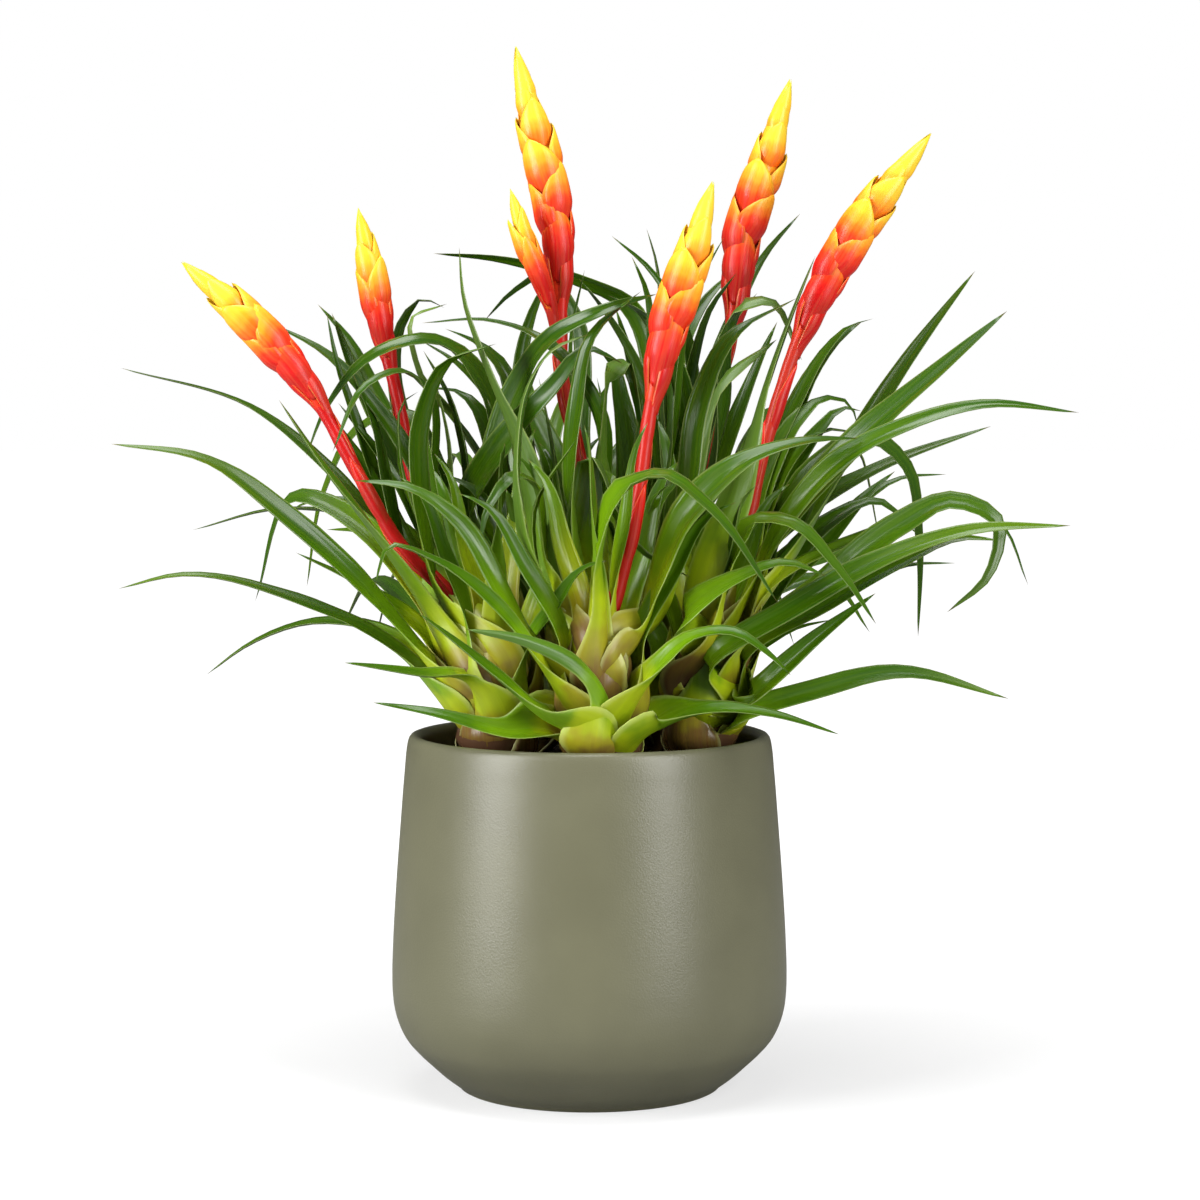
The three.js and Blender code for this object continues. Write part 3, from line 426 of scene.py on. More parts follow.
def far_leaf(plant, azimuth, seed):
    """A row whose points rise in three steps and end in a drooping tip."""
    reach, rise = mix(*FAR_REACH, draw(seed)), mix(*FAR_RISE, draw(seed + 1))
    droop = mix(*FAR_DROOP, draw(seed + 2))
    steps = [(0.3, 0.5), (0.55, 0.88), (0.8, 1.0), (1.0, 1 - droop / rise)]
    level, width = mix(*FAR_LEVEL, draw(seed + 3)), mix(*FAR_WIDTH, draw(seed + 4))
    return (plant, level, azimuth, width, *risen(plant, azimuth, reach, rise, steps))


def rooted(row):
    """A leaf row with its root and collar put in front of its points."""
    plant, level, azimuth, width, *points = row
    foot, out = np.array([*PLANTS[plant], SOIL_LEVEL + ROOT_LIFT + level]), bearing(azimuth)
    root = foot + out * mix(9, 5, level / HEART_HEIGHT)
    collar = foot + out * mix(21, 12, level / HEART_HEIGHT) + np.array([0, 0, COLLAR_RISE])
    points = np.array([root, collar, *points], float)
    return {"plant": plant, "level": level, "width": width, "out": out, "points": points}


rows, seed = list(SEEN_LEAVES), 1
for plant, first, last, count in FAR_LEAVES:
    for azimuth in np.linspace(first, last, count):
        rows.append(far_leaf(plant, azimuth, seed))
        seed += 7
leaves = [rooted(row) for row in rows]
print(len(leaves), "leaves in", len(PLANTS), "plants")

# %% [markdown]
# ## The section of a leaf along its length
# Near the root each leaf swells into a cupped sheath, narrows to a neck and then runs on as
# a channelled blade that tapers to a point. Outer leaves have wide sheaths and inner ones
# narrow sheaths. The blade turns a little towards the light in front.

# %% Leaf sections
SHEATH_ROWS = [0.0, 11.0, 27.0, 46.0]
OUTER_SHEATH, INNER_SHEATH = 29, 16
LEAF_THICKNESS = 1.3
TURN_TO_FRONT = 0.7
SWELL_MIDDLE, SWELL_SPREAD = 20, 17
COARSE_STEP = 36
BEND_AREA = 6000
TAPER_SHARE, TAPER_POWER = 0.45, 0.75
BLADE_FOLD, SHEATH_FOLD = 0.3, 0.5


def bend_side(leaf):
    """Normal of the plane that the leaf bends in, kept on the level side of its azimuth."""
    step = leaf["points"][1:] - leaf["points"][0]
    area = np.cross(step[:-1], step[1:]).sum(axis=0) / BEND_AREA
    level = np.array([-leaf["out"][1], leaf["out"][0], 0.0])
    strength = min(np.linalg.norm(area), 2) / max(np.linalg.norm(area), 1e-9)
    return unit(level + area * strength * (-1 if area @ level < 0 else 1))


def coarse_distances(length):
    """The sheath's rows, then even rows of about 36 mm to the tip."""
    start = SHEATH_ROWS[-1]
    count = int(np.clip(math.floor((length - start) / COARSE_STEP + 0.5), 3, 8))
    return np.array(SHEATH_ROWS + [mix(start, length, i / count) for i in range(1, count + 1)])


def leaf_rows(leaf, distances=None):
    """Place, directions, half width, fold and thickness of a leaf at each distance."""
    curve = Curve(leaf["points"])
    s = coarse_distances(curve.length) if distances is None else distances(curve.length)
    place, knot, share = curve.at(s)
    ahead, behind = np.vstack([place[1:], place[-1:]]), np.vstack([place[:1], place[:-1]])
    along = unit(ahead - behind)
    across, side = np.empty_like(along), bend_side(leaf)
    for i, way in enumerate(along):
        side = unit(side - way * (side @ way))
        across[i] = side
    u = s / curve.length
    faced = np.cross(along, across)
    faced[:, 1] -= TURN_TO_FRONT * smooth(u / 0.4)
    across = unit(np.cross(faced, along))
    blade = leaf["width"] * np.clip((1 - u) / TAPER_SHARE, 0, 1) ** TAPER_POWER
    blade = blade * mix(0.8, 1, np.clip(u / 0.4, 0, 1))
    swell = np.exp(-(((s - SWELL_MIDDLE) / SWELL_SPREAD) ** 2))
    sheath = mix(OUTER_SHEATH, INNER_SHEATH, leaf["level"] / HEART_HEIGHT)
    half = 0.5 * np.maximum(blade, mix(blade, sheath, swell))
    fold = mix(BLADE_FOLD, SHEATH_FOLD, swell) * half
    if distances is None:
        half[0], fold[0] = 4, 1
    return {
        "place": place, "along": along, "across": across, "face": np.cross(along, across),
        "half": half, "fold": fold, "thick": LEAF_THICKNESS * mix(1, 0.7, u), "swell": swell,
        "knot": knot, "share": share, "s": s, "u": u, "length": curve.length,
    }


print("first leaf's half widths:", leaf_rows(leaves[0])["half"].round(1))

# %% [markdown]
# ## Leaves kept clear of one another
# Traced leaves would cross here and there, because a picture hides depth. Each stretch of
# leaf is treated as a slim box. Where two boxes of different leaves overlap, both are
# pushed apart along the cheapest direction, mostly front to back, over many small rounds.
# The solids were eased in the same way, so the dressed leaves end where theirs do.

# %% Easing apart
GAP = 0.3
SCAPE_RADIUS = 2.7
LEAF_CLEARANCE = 1.0
EASING_ROUNDS = 70
STIFFNESS = 0.5
EASING_SHARE = 0.8
STEM_ROWS = 25
OWN_REACH = 80
RIM_REACH, RIM_CLEARANCE = 56, 7
YIELDING = np.array([0.2, 1, 0.2])


def boxes_of(rows, owner, plant):
    """Middle and three half sides of the box that each pair of neighbouring rows fills."""
    pair = lambda key: (rows[key][:-1], rows[key][1:])
    (p0, p1), (a0, a1), (f0, f1) = pair("place"), pair("across"), pair("face")
    half = np.maximum(*pair("half"))
    fold, thick = np.maximum(*pair("fold")), np.maximum(*pair("thick"))
    face = unit(f0 + f1)
    sides = np.stack([
        (p1 - p0) / 2,
        unit(a0 + a1) * half[:, None],
        face * (0.5 * (fold + thick))[:, None],
    ], axis=1)
    count = len(half)
    return {
        "middle": (p0 + p1) / 2 + face * (0.5 * fold)[:, None],
        "sides": sides,
        "knot": rows["knot"][1:],
        "share": rows["share"][1:],
        "reach": 0.5 * (rows["s"][:-1] + rows["s"][1:]),
        "owner": np.full(count, owner),
        "plant": np.full(count, plant),
    }


def stacked(parts):
    """Several sets of boxes as one."""
    return {key: np.concatenate([part[key] for part in parts]) for key in parts[0]}


def partings(boxes, i, j):
    """Push on box i that parts it from box j: the cheapest of six separating directions."""
    between = boxes["middle"][i] - boxes["middle"][j]
    si, sj = boxes["sides"][i], boxes["sides"][j]
    up = np.zeros_like(between)
    up[:, 1] = 1
    raw = np.stack([up, si[:, 2], sj[:, 2], si[:, 1], sj[:, 1],
                    np.cross(si[:, 0], sj[:, 0])], axis=1)
    real = np.linalg.norm(raw, axis=2) >= 1e-6
    axis = unit(raw)
    away = np.einsum("nk,nak->na", between, axis)
    both = np.concatenate([si, sj], axis=1)
    reach = np.abs(np.einsum("nsk,nak->nas", both, axis)).sum(axis=2)
    lack = reach + LEAF_CLEARANCE - np.abs(away)
    clear = ((lack <= 0) & real).any(axis=1)
    give = axis * YIELDING
    ease = np.einsum("nak,nak->na", axis, give)
    cost = np.where(real, lack / np.sqrt(np.maximum(ease, 1e-12)), np.inf)
    best = np.argmin(cost, axis=1)
    n = np.arange(len(best))
    amount = np.where(away[n, best] < 0, -1, 1) * lack[n, best] / ease[n, best]
    return give[n, best] * amount[:, None], ~clear


def ease_apart(leaves, stems):
    """Moves the leaves' points apart, round by round, for a set number of rounds."""
    plants = {name: k for k, name in enumerate(PLANTS)}
    most = max(len(leaf["points"]) for leaf in leaves)
    for _ in range(EASING_ROUNDS):
        own = stacked([boxes_of(leaf_rows(leaf), k, plants[leaf["plant"]])
                       for k, leaf in enumerate(leaves)])
        count = len(own["owner"])
        boxes = stacked([own, *stems])
        span = np.linalg.norm(boxes["sides"], axis=2).sum(axis=1)
        gap = boxes["middle"][:count, None] - boxes["middle"][None]
        near = (gap**2).sum(axis=2) <= (span[:count, None] + span[None]) ** 2
        i, j = np.nonzero(near)
        later = (j > i) & (boxes["owner"][i] != boxes["owner"][j])
        i, j = i[later], j[later]
        low = np.minimum(boxes["reach"][i], boxes["reach"][j]) < OWN_REACH
        apart = ~((boxes["plant"][i] == boxes["plant"][j]) & low)
        i, j = i[apart], j[apart]
        push, meets = partings(boxes, i, j)
        i, j, push = i[meets], j[meets], push[meets]
        fixed = j >= count
        total, weight = np.zeros((len(leaves), most, 3)), np.zeros((len(leaves), most))
        ends = [(i, push * np.where(fixed, 1, 0.5)[:, None])]
        ends.append((j[~fixed], push[~fixed] * -0.5))
        for box, move in ends:
            owner, knot, share = boxes["owner"][box], boxes["knot"][box], boxes["share"][box]
            for step, part in ((0, 1 - share), (1, share)):
                np.add.at(total, (owner, knot + step), move * part[:, None])
                np.add.at(weight, (owner, knot + step), part)
        for k, leaf in enumerate(leaves):
            size = len(leaf["points"])
            own = total[k, :size] * (EASING_SHARE / np.maximum(weight[k, :size], 1))[:, None]
            following = np.vstack([own[1:], own[-1:]])
            before = np.vstack([own[:1], own[:-1]])
            move = own * STIFFNESS + (before + following) * (1 - STIFFNESS) / 2
            moved = leaf["points"] + move
            wide = np.hypot(moved[:, 0], moved[:, 1]) > RIM_REACH
            low = np.maximum(moved[:, 2], POT_HEIGHT + RIM_CLEARANCE)
            moved[:, 2] = np.where(wide, low, moved[:, 2])
            leaf["points"][2:] = moved[2:]


def stem_points(spike):
    """The stem's points, from its foot in the heart to the tip of the head."""
    x, y = PLANTS[spike[0]]
    return [(x, y, SOIL_LEVEL + SEAT_HEIGHT + GAP), (x, y, SOIL_LEVEL + HEART_HEIGHT), *spike[4:]]


def stem_boxes(points, plant, head_start, half, owner):
    """Slim boxes round a stem and wide ones round its head."""
    curve = Curve(points)
    u = np.linspace(0, 1, STEM_ROWS)
    s = curve.length * u
    along = curve.along(s)
    across = unit(np.cross(along, [0, 1, 0]))
    wide = np.where(u < head_start - 0.02, SCAPE_RADIUS + GAP, half + 1)
    wide = np.where(u > 0.8, mix(wide, 3, smooth((u - 0.8) / 0.2)), wide)
    zero = np.zeros(len(u))
    rows = {"place": curve.at(s)[0], "across": across, "face": np.cross(along, across),
            "half": wide, "fold": zero, "thick": 2 * wide, "s": s,
            "knot": zero.astype(int), "share": zero}
    return boxes_of(rows, owner, list(PLANTS).index(plant))


stems = [stem_boxes(stem_points(spike), spike[0], spike[1], spike[2], -1 - k)
         for k, spike in enumerate(SPIKES)]
stems.append(stem_boxes(SIDE_BRANCH, "middle", 0.1, 6, -3))
ease_apart(leaves, stems)
print("first leaf's tip after easing:", leaves[0]["points"][-1].round(1))

# %% [markdown]
# ## From arrays to meshes
# A piece is one array of points and one array of four-cornered faces. A three-cornered
# face repeats its last corner number as -1. Values that a material needs, such as how far
# along a leaf a point lies, are stored on the points as named attributes. Leaves and bracts
# are strips: rings of points that run over the upper side and back under it, closed at the
# root and drawn together in one point at the tip.

# %% Mesh helper


def piece_of(name, places, faces, node, attributes, material):
    """A mesh object in metres that rides on the model and stands for a solid."""
    faces = np.asarray(faces)
    size = np.where(faces[:, 3] < 0, 3, 4)
    corners = faces.ravel()
    corners = corners[corners >= 0]
    mesh = bpy.data.meshes.new(name)
    mesh.vertices.add(len(places))
    mesh.vertices.foreach_set("co", (np.asarray(places) * MM).astype(np.float32).ravel())
    mesh.loops.add(len(corners))
    mesh.loops.foreach_set("vertex_index", corners.astype(np.int32))
    mesh.polygons.add(len(faces))
    mesh.polygons.foreach_set("loop_start", (np.cumsum(size) - size).astype(np.int32))
    mesh.update(calc_edges=True)
    mesh.validate(verbose=True)
    mesh.shade_smooth()
    for key, values in attributes.items():
        layer = mesh.attributes.new(key, "FLOAT", "POINT")
        layer.data.foreach_set("value", np.asarray(values, np.float32).ravel())
    mesh.materials.append(material)
    piece = bpy.data.objects.new(name, mesh)
    bpy.context.scene.collection.objects.link(piece)
    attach(piece, "root")
    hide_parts(node)
    print(name, len(places), "points,", int((size - 2).sum()), "triangles")
    return piece


def skin_faces(rings, around):
    """Four-cornered faces between neighbouring rings."""
    r, k = np.meshgrid(np.arange(rings - 1), np.arange(around), indexing="ij")
    a, b = r * around + k, r * around + (k + 1) % around
    return np.stack([a, b, b + around, a + around], axis=-1).reshape(-1, 4)


def closed_faces(rings, around):
    """Faces of a skin over rings of a flat strip, closed by its root and by one tip point.

    Each ring runs over the strip's upper side and back under it, so the root is closed by
    four-cornered faces between the two sides.
    """
    k = np.arange(around)
    top = (rings - 1) * around
    tip = np.stack([top + k, top + (k + 1) % around, np.full(around, rings * around),
                    np.full(around, -1)], axis=-1)
    k = np.arange(around // 2 - 1)
    root = np.stack([k + 1, k, around - 1 - k, around - 2 - k], axis=-1)
    return np.vstack([skin_faces(rings, around), tip, root])


def flipped(faces):
    """The same faces seen from the other side."""
    return np.where(faces[:, 3:] < 0, faces[:, [1, 0, 2, 3]], faces[:, [1, 0, 3, 2]])


def strip_rings(place, first, second, upper, lower):
    """Rings over the upper side of a strip and back under its lower side.

    A side is two arrays: how far its points lie along the first and the second direction.
    """
    sides = []
    for (a, b), order in ((upper, slice(None)), (lower, slice(None, None, -1))):
        sides.append(place[:, None] + first[:, None] * a[:, order, None]
                     + second[:, None] * b[:, order, None])
    return np.concatenate(sides, axis=1)[:-1]


def strip_values(rings, pairs):
    """Values on all points of a strip, from each name's pair: on the rings and at the tip."""
    count, around = rings.shape[:2]
    return {name: np.append(np.broadcast_to(values, (count, around)), tip)
            for name, (values, tip) in pairs.items()}


def plain_values(names, count, **given):
    """Each named value as an array over the points; what isn't given is nought."""
    return {name: np.zeros(count) + given.get(name, 0.0) for name in names}


def both_sides(columns):
    """Column positions of a ring that runs over a strip and back, and 1 where it is under."""
    under = np.repeat([0.0, 1.0], len(columns))
    return np.concatenate([columns, columns[::-1]])[None], under[None]


def gathered(shapes):
    """Several (places, faces, attributes) as one."""
    places, faces, attributes, start = [], [], [], 0
    for place, face, attribute in shapes:
        places.append(place)
        faces.append(np.where(face < 0, -1, face + start))
        attributes.append(attribute)
        start += len(place)
    keys = attributes[0].keys()
    joined = {key: np.concatenate([a[key] for a in attributes]) for key in keys}
    return np.vstack(places), np.vstack(faces), joined


print("a strip of 3 rings of 6 has", len(closed_faces(3, 6)), "faces")

# %% [markdown]
# ## A fine leaf
# The real leaf is a thin channelled strap. Its section is a shallow trough, rounder in the
# sheath and sharper at the midrib of the blade, and its edges ripple a little. A flat card
# with a picture would be lighter, but these leaves are seen from below, edge on and from
# behind, so each has two sides and a real thickness.

# %% Leaf surface
LEAF_COLUMNS = np.linspace(-1, 1, 9)
SHEATH_END = 50
SHEATH_STEPS = 23
BLADE_STEP = 6
SLIMMING = 0.26
LARGEST_TWIST = 0.3
BLADE_CURL, SHEATH_CURL = 1.35, 2.1
SHEATH_CUP = 1.5
LEAF_VALUES = ("leaf_mm", "leaf_share", "leaf_side", "leaf_across", "leaf_under", "leaf_tone",
               "leaf_inner")


def leaf_distances(length):
    """Close rows in the sheath and even rows of about 6 mm along the blade."""
    blade = max(12, int((length - SHEATH_END) / BLADE_STEP))
    sheath = np.linspace(0, SHEATH_END, SHEATH_STEPS)
    return np.concatenate([sheath, np.linspace(SHEATH_END, length, blade)[1:]])


def buried_foot(rows, depth):
    """Rows that carry the sheath straight down from its root into the heart, narrowing."""
    share = np.array([1.0, 0.66, 0.33])
    down = {key: np.repeat(values[:1], 3, axis=0) for key, values in rows.items()
            if key != "length"}
    down["place"] = down["place"] - share[:, None] * [0, 0, depth]
    down["s"] = -depth * share * 0.4
    down["half"] = rows["half"][0] * (1 - 0.45 * share)
    joined = {key: np.concatenate([down[key], rows[key]]) for key in down}
    return {**joined, "length": rows["length"]}


def leaf_surface(leaf, seed):
    """Trough height = cup fold |v|^p over the width v from -1 to 1, thickest in the middle.

    Edges ripple by a fraction of a millimetre. Towards its tip a steep blade turns its face
    more to the front, and every blade twists by a drawn angle. The blades of outer leaves
    are up to about a quarter slimmer than their solids.
    """
    rows = leaf_rows(leaf, leaf_distances)
    outer = 1 - smooth((leaf["level"] - 8) / 14)
    slimmer = 1 - SLIMMING * outer * (1 - rows["swell"])
    rows["half"] = rows["half"] * slimmer * mix(0.75, 1, smooth(rows["s"] / 9))
    rows = buried_foot(rows, mix(5, 24, leaf["level"] / HEART_HEIGHT))
    s, u, v = rows["s"][:, None], rows["u"][:, None], LEAF_COLUMNS[None]
    later = smooth((rows["u"] - 0.25) / 0.5)[:, None]
    steep = smooth((rows["along"][:, 2:] - 0.4) / 0.4)
    faced = rows["face"] + later * steep * [0, -0.9, 0]
    turned = unit(np.cross(faced, rows["along"]))
    twist = mix(-LARGEST_TWIST, LARGEST_TWIST, draw(seed)) * later
    across = turned * np.cos(twist) + np.cross(rows["along"], turned) * np.sin(twist)
    face = np.cross(rows["along"], across)
    power = mix(BLADE_CURL, SHEATH_CURL, rows["swell"])[:, None]
    cup = mix(1, SHEATH_CUP, rows["swell"])[:, None]
    height = rows["fold"][:, None] * cup * np.abs(v) ** power
    phase = NEARLY_ROUND * draw(seed + 3)
    ripple = 0.35 * np.sin(s / 9 + phase + 1.7 * v) + 0.25 * np.sin(s / 4.3 + 2 * phase - v)
    height = height + ripple * np.abs(v) * smooth((s - 40) / 60) * (1 - u)
    thick = 0.5 * rows["thick"][:, None] * (1 - 0.72 * v**2) * mix(1, 0.5, u)
    wide = rows["half"][:, None] * v
    rings = strip_rings(rows["place"], across, face, (wide, height + thick),
                        (wide, height - thick))
    places = np.vstack([rings.reshape(-1, 3), rows["place"][-1:]])
    side, under = both_sides(LEAF_COLUMNS)
    tone, inner = draw(seed + 5), leaf["level"] / HEART_HEIGHT
    values = [(s[:-1], rows["length"]), (u[:-1], 1.0), (side, 0.0),
              (side * rows["half"][:-1, None], 0.0), (under, 0.5), (tone, tone), (inner, inner)]
    attributes = strip_values(rings, dict(zip(LEAF_VALUES, values)))
    return places, closed_faces(*rings.shape[:2]), attributes


places, faces, attributes = leaf_surface(leaves[0], 1)
print("one leaf:", len(places), "points")

# %% [markdown]
# ## Bracts, stem scales and heart scales
# A bract is a boat: broad in the middle, pointed at its tip and cupped round the stem. The
# same surface, long and narrow, makes the scales that clasp a stem, and short and wide it
# makes the dry scales between the leaf bases. Each bract reaches past the feet of the next
# ones, so that they lie over one another like roof tiles.

# %% Bract surface
BRACT_ROWS = np.linspace(0, 1, 17)
BRACT_COLUMNS = np.linspace(-1, 1, 11)
BRACT_TURN = 2.4
BUD_SIDES, STEM_SIDES = 12, 16
BRACT_LENGTHS = (34, 22)
BRACT_VALUES = ("bract_along", "bract_side", "bract_across", "bract_under", "head_share",
                "bract_tone")


def frames_on(curve, distances, turn):
    """Places on a curve with the directions out of it and round it at an angle."""
    along = curve.along(distances)
    side = unit(np.array([1.0, 0, 0]) - along * along[:, :1])
    out = side * math.cos(turn) + np.cross(along, side) * math.sin(turn)
    return curve.at(distances)[0], out, np.cross(along, out)


def bract_surface(curve, start, length, turn, half, belly, head_share, seed, thick=0.55,
                  closing=0.0):
    """Half width = half sin(pi a^0.8)^0.9 at the share a of the length, bent round the stem.

    The radius of the bend grows from 0.45 of the belly to about the belly. Closing draws
    the upper part in to the stem by closing a^2, as on the youngest bracts. A low keel runs
    along the middle of the outer side and fades towards the tip.
    """
    a, b = BRACT_ROWS, BRACT_COLUMNS
    drawn_in = 1 - closing * a**2
    place, out, over = frames_on(curve, start + a * length, turn)
    width = half * np.sin(np.pi * np.clip(a, 0.02, 1) ** 0.8) ** 0.9 * np.sqrt(drawn_in)
    radius = belly * (0.45 + 0.55 * smooth(a / 0.5) - 0.04 * a) * drawn_in
    angle = np.minimum(width / np.maximum(radius, 0.8), 1.5 + 1.3 * closing)[:, None] * b[None]
    keel = 0.25 * np.exp(-((b[None] / 0.12) ** 2)) * (1 - a[:, None])
    lift = (0.6 * (1 - b[None] ** 2) + keel) * drawn_in[:, None]
    outside = radius[:, None] + lift
    inside = outside - thick * (1 - 0.5 * b[None] ** 2) * drawn_in[:, None]
    rings = strip_rings(place, out, over,
                        (outside * np.cos(angle), outside * np.sin(angle)),
                        (inside * np.cos(angle), inside * np.sin(angle)))
    tip = place[-1:] + out[-1:] * radius[-1]
    side, under = both_sides(b)
    wide = np.concatenate([angle, angle[:, ::-1]], axis=1) * radius[:, None]
    tone = draw(seed)
    values = [(a[:-1, None], 1.0), (side, 0.0), (wide[:-1], 0.0), (under, 0.5),
              (head_share, head_share), (tone, tone)]
    attributes = strip_values(rings, dict(zip(BRACT_VALUES, values)))
    faces = flipped(closed_faces(*rings.shape[:2]))
    return np.vstack([rings.reshape(-1, 3), tip]), faces, attributes


def fullness(share):
    """How full a flower head is along its length: slim at both ends."""
    return 0.35 + 0.65 * np.sin(np.pi * (0.14 + 0.81 * share))


def bud_surface(curve, start, half, warmth, seed):
    """The bud inside the bracts: radius = 0.52 half f(u - 0.1) min(1, 8 (1 - u))^0.8."""
    u = np.linspace(0.02, 1, 20)
    span = curve.length - start
    radius = 0.52 * half * fullness(u - 0.1) * np.minimum(1, 8 * (1 - u)) ** 0.8
    rings = []
    for turn in np.linspace(0, 2 * np.pi, BUD_SIDES + 1)[:-1]:
        place, out, _ = frames_on(curve, start + u * span, turn)
        rings.append(place + out * radius[:, None])
    rings = np.stack(rings, axis=1)[:-1]
    places = np.vstack([rings.reshape(-1, 3), place[-1:]])
    head_share = np.append(np.repeat(u[:-1], BUD_SIDES), 1.0) + warmth
    attributes = plain_values(BRACT_VALUES, len(places), bract_along=0.7,
                              head_share=head_share, bract_tone=draw(seed))
    return places, closed_faces(len(u) - 1, BUD_SIDES), attributes


def head_surfaces(curve, start, half, count, warmth, seed):
    """Bracts in a spiral round a bud, from the oldest to the tip."""
    span = curve.length - start
    shapes = [bud_surface(curve, start, half, warmth, seed)]
    for k in range(count):
        share = k / (count - 1)
        narrow = float(fullness(share))
        shapes.append(bract_surface(
            curve, start=start + share * (span - BRACT_LENGTHS[1]),
            length=mix(*BRACT_LENGTHS, share), turn=BRACT_TURN * k, half=half * narrow * 1.35,
            belly=(half - 1.2) * narrow, head_share=share + warmth, seed=seed + k,
            closing=0.85 * float(smooth((share - 0.55) / 0.45))))
    return shapes


def tube_surface(curve, end, radius, head_share, seed):
    """A round stem that swells slightly here and there and closes in a point."""
    s = np.linspace(0, end, 40)
    place, out, over = frames_on(curve, s, 0.0)
    angle = np.linspace(0, 2 * np.pi, STEM_SIDES + 1)[None, :-1, None]
    swell = radius * (1 + 0.05 * np.sin(s / 5.5) + 0.03 * np.sin(s / 2.1))
    ring = out[:, None] * np.cos(angle) + over[:, None] * np.sin(angle)
    rings = place[:, None] + ring * swell[:, None, None]
    places = np.vstack([rings.reshape(-1, 3), curve.at(end + 2)[0]])
    attributes = plain_values(BRACT_VALUES, len(places), bract_along=0.2,
                              head_share=head_share, bract_tone=draw(seed))
    return places, closed_faces(len(s), STEM_SIDES), attributes


print("one bract:", (len(BRACT_ROWS) - 1) * len(BRACT_COLUMNS) * 2 + 1, "points")

# %% [markdown]
# ## Shader helpers
# A material is a small network of nodes. A few helpers keep the networks readable: one
# places a node with its settings, others read a named value from the mesh, do a sum, mix
# two colours or make a ramp of them. Colours are given as they look on a screen, from 0 to
# 255, and turned to linear light.

# %% Node helpers


def linear(red, green, blue):
    """Screen colour 0 to 255 as linear light with alpha."""
    c = np.array([red, green, blue]) / 255
    c = np.where(c <= 0.04045, c / 12.92, ((c + 0.055) / 1.055) ** 2.4)
    return (*c.tolist(), 1.0)


def feed(tree, node, inputs):
    """Sets a node's inputs; each value is a number, a colour or a socket to link."""
    for key, value in inputs.items():
        if isinstance(value, bpy.types.NodeSocket):
            tree.links.new(value, node.inputs[key])
        else:
            node.inputs[key].default_value = value


def put(tree, kind, inputs=None, **settings):
    """A new node with its settings and inputs."""
    node = tree.nodes.new(kind)
    for key, value in settings.items():
        setattr(node, key, value)
    feed(tree, node, inputs or {})
    return node


def value_of(tree, name):
    """The named value that the mesh stores on its points."""
    return put(tree, "ShaderNodeAttribute", attribute_name=name).outputs["Fac"]


def sum_of(tree, operation, *values):
    """A Math node on up to three values."""
    inputs = dict(enumerate(values))
    return put(tree, "ShaderNodeMath", inputs, operation=operation).outputs[0]


def times(tree, first, second):
    """The product of two values."""
    return sum_of(tree, "MULTIPLY", first, second)


def scaled(tree, value, factor, more):
    """A value times a factor and something more."""
    return sum_of(tree, "MULTIPLY_ADD", value, factor, more)


def blend_of(tree, factor, first, second):
    """A colour mixed from two by a factor; a colour is a socket or a screen colour."""
    first, second = (linear(*c) if isinstance(c, tuple) else c for c in (first, second))
    node = put(tree, "ShaderNodeMix", {0: factor, 6: first, 7: second}, data_type="RGBA")
    return node.outputs[2]


def step_of(tree, value, low, high, start=0.0, end=1.0):
    """A soft step of a value between two limits."""
    inputs = {"Value": value, "From Min": low, "From Max": high, "To Min": start, "To Max": end}
    node = put(tree, "ShaderNodeMapRange", inputs, interpolation_type="SMOOTHSTEP")
    return node.outputs["Result"]


def bump_of(tree, height, strength, distance):
    """A normal that leans with the slope of a height."""
    inputs = {"Height": height, "Strength": strength, "Distance": distance}
    return put(tree, "ShaderNodeBump", inputs).outputs["Normal"]


def ramp_of(tree, value, stops):
    """Colours at places from 0 to 1, blended smoothly."""
    node = put(tree, "ShaderNodeValToRGB", {"Fac": value})
    ramp = node.color_ramp
    ramp.interpolation = "EASE"
    while len(ramp.elements) < len(stops):
        ramp.elements.new(0.5)
    for element, (place, colour) in zip(ramp.elements, stops):
        element.position = place
        element.color = linear(*colour)
    return node.outputs["Color"]


def new_group(name, inputs, outputs):
    """An empty node group with float inputs and outputs, and its two end nodes."""
    tree = bpy.data.node_groups.new(name, "ShaderNodeTree")
    for key, value in inputs.items():
        socket = tree.interface.new_socket(key, in_out="INPUT", socket_type="NodeSocketFloat")
        socket.default_value = value
    for key in outputs:
        tree.interface.new_socket(key, in_out="OUTPUT", socket_type="NodeSocketFloat")
    return tree, tree.nodes.new("NodeGroupInput"), tree.nodes.new("NodeGroupOutput")


def new_material(name):
    """A material with its Principled shader."""
    material = bpy.data.materials.new(name)
    material.use_nodes = True
    return material, material.node_tree, material.node_tree.nodes["Principled BSDF"]


print("sage as linear light:", [round(c, 3) for c in linear(128, 128, 108)])

# %% [markdown]
# ## Parallel veins, shared by leaves and bracts
# Bromeliad leaves have no net of veins: dozens of fine lines run side by side from root to
# tip. Noise stretched many times along the leaf gives lines of uneven strength, which a
# plain wave would not. The group takes millimetres across and along, so that the lines
# keep their real spacing on wide and narrow leaves.

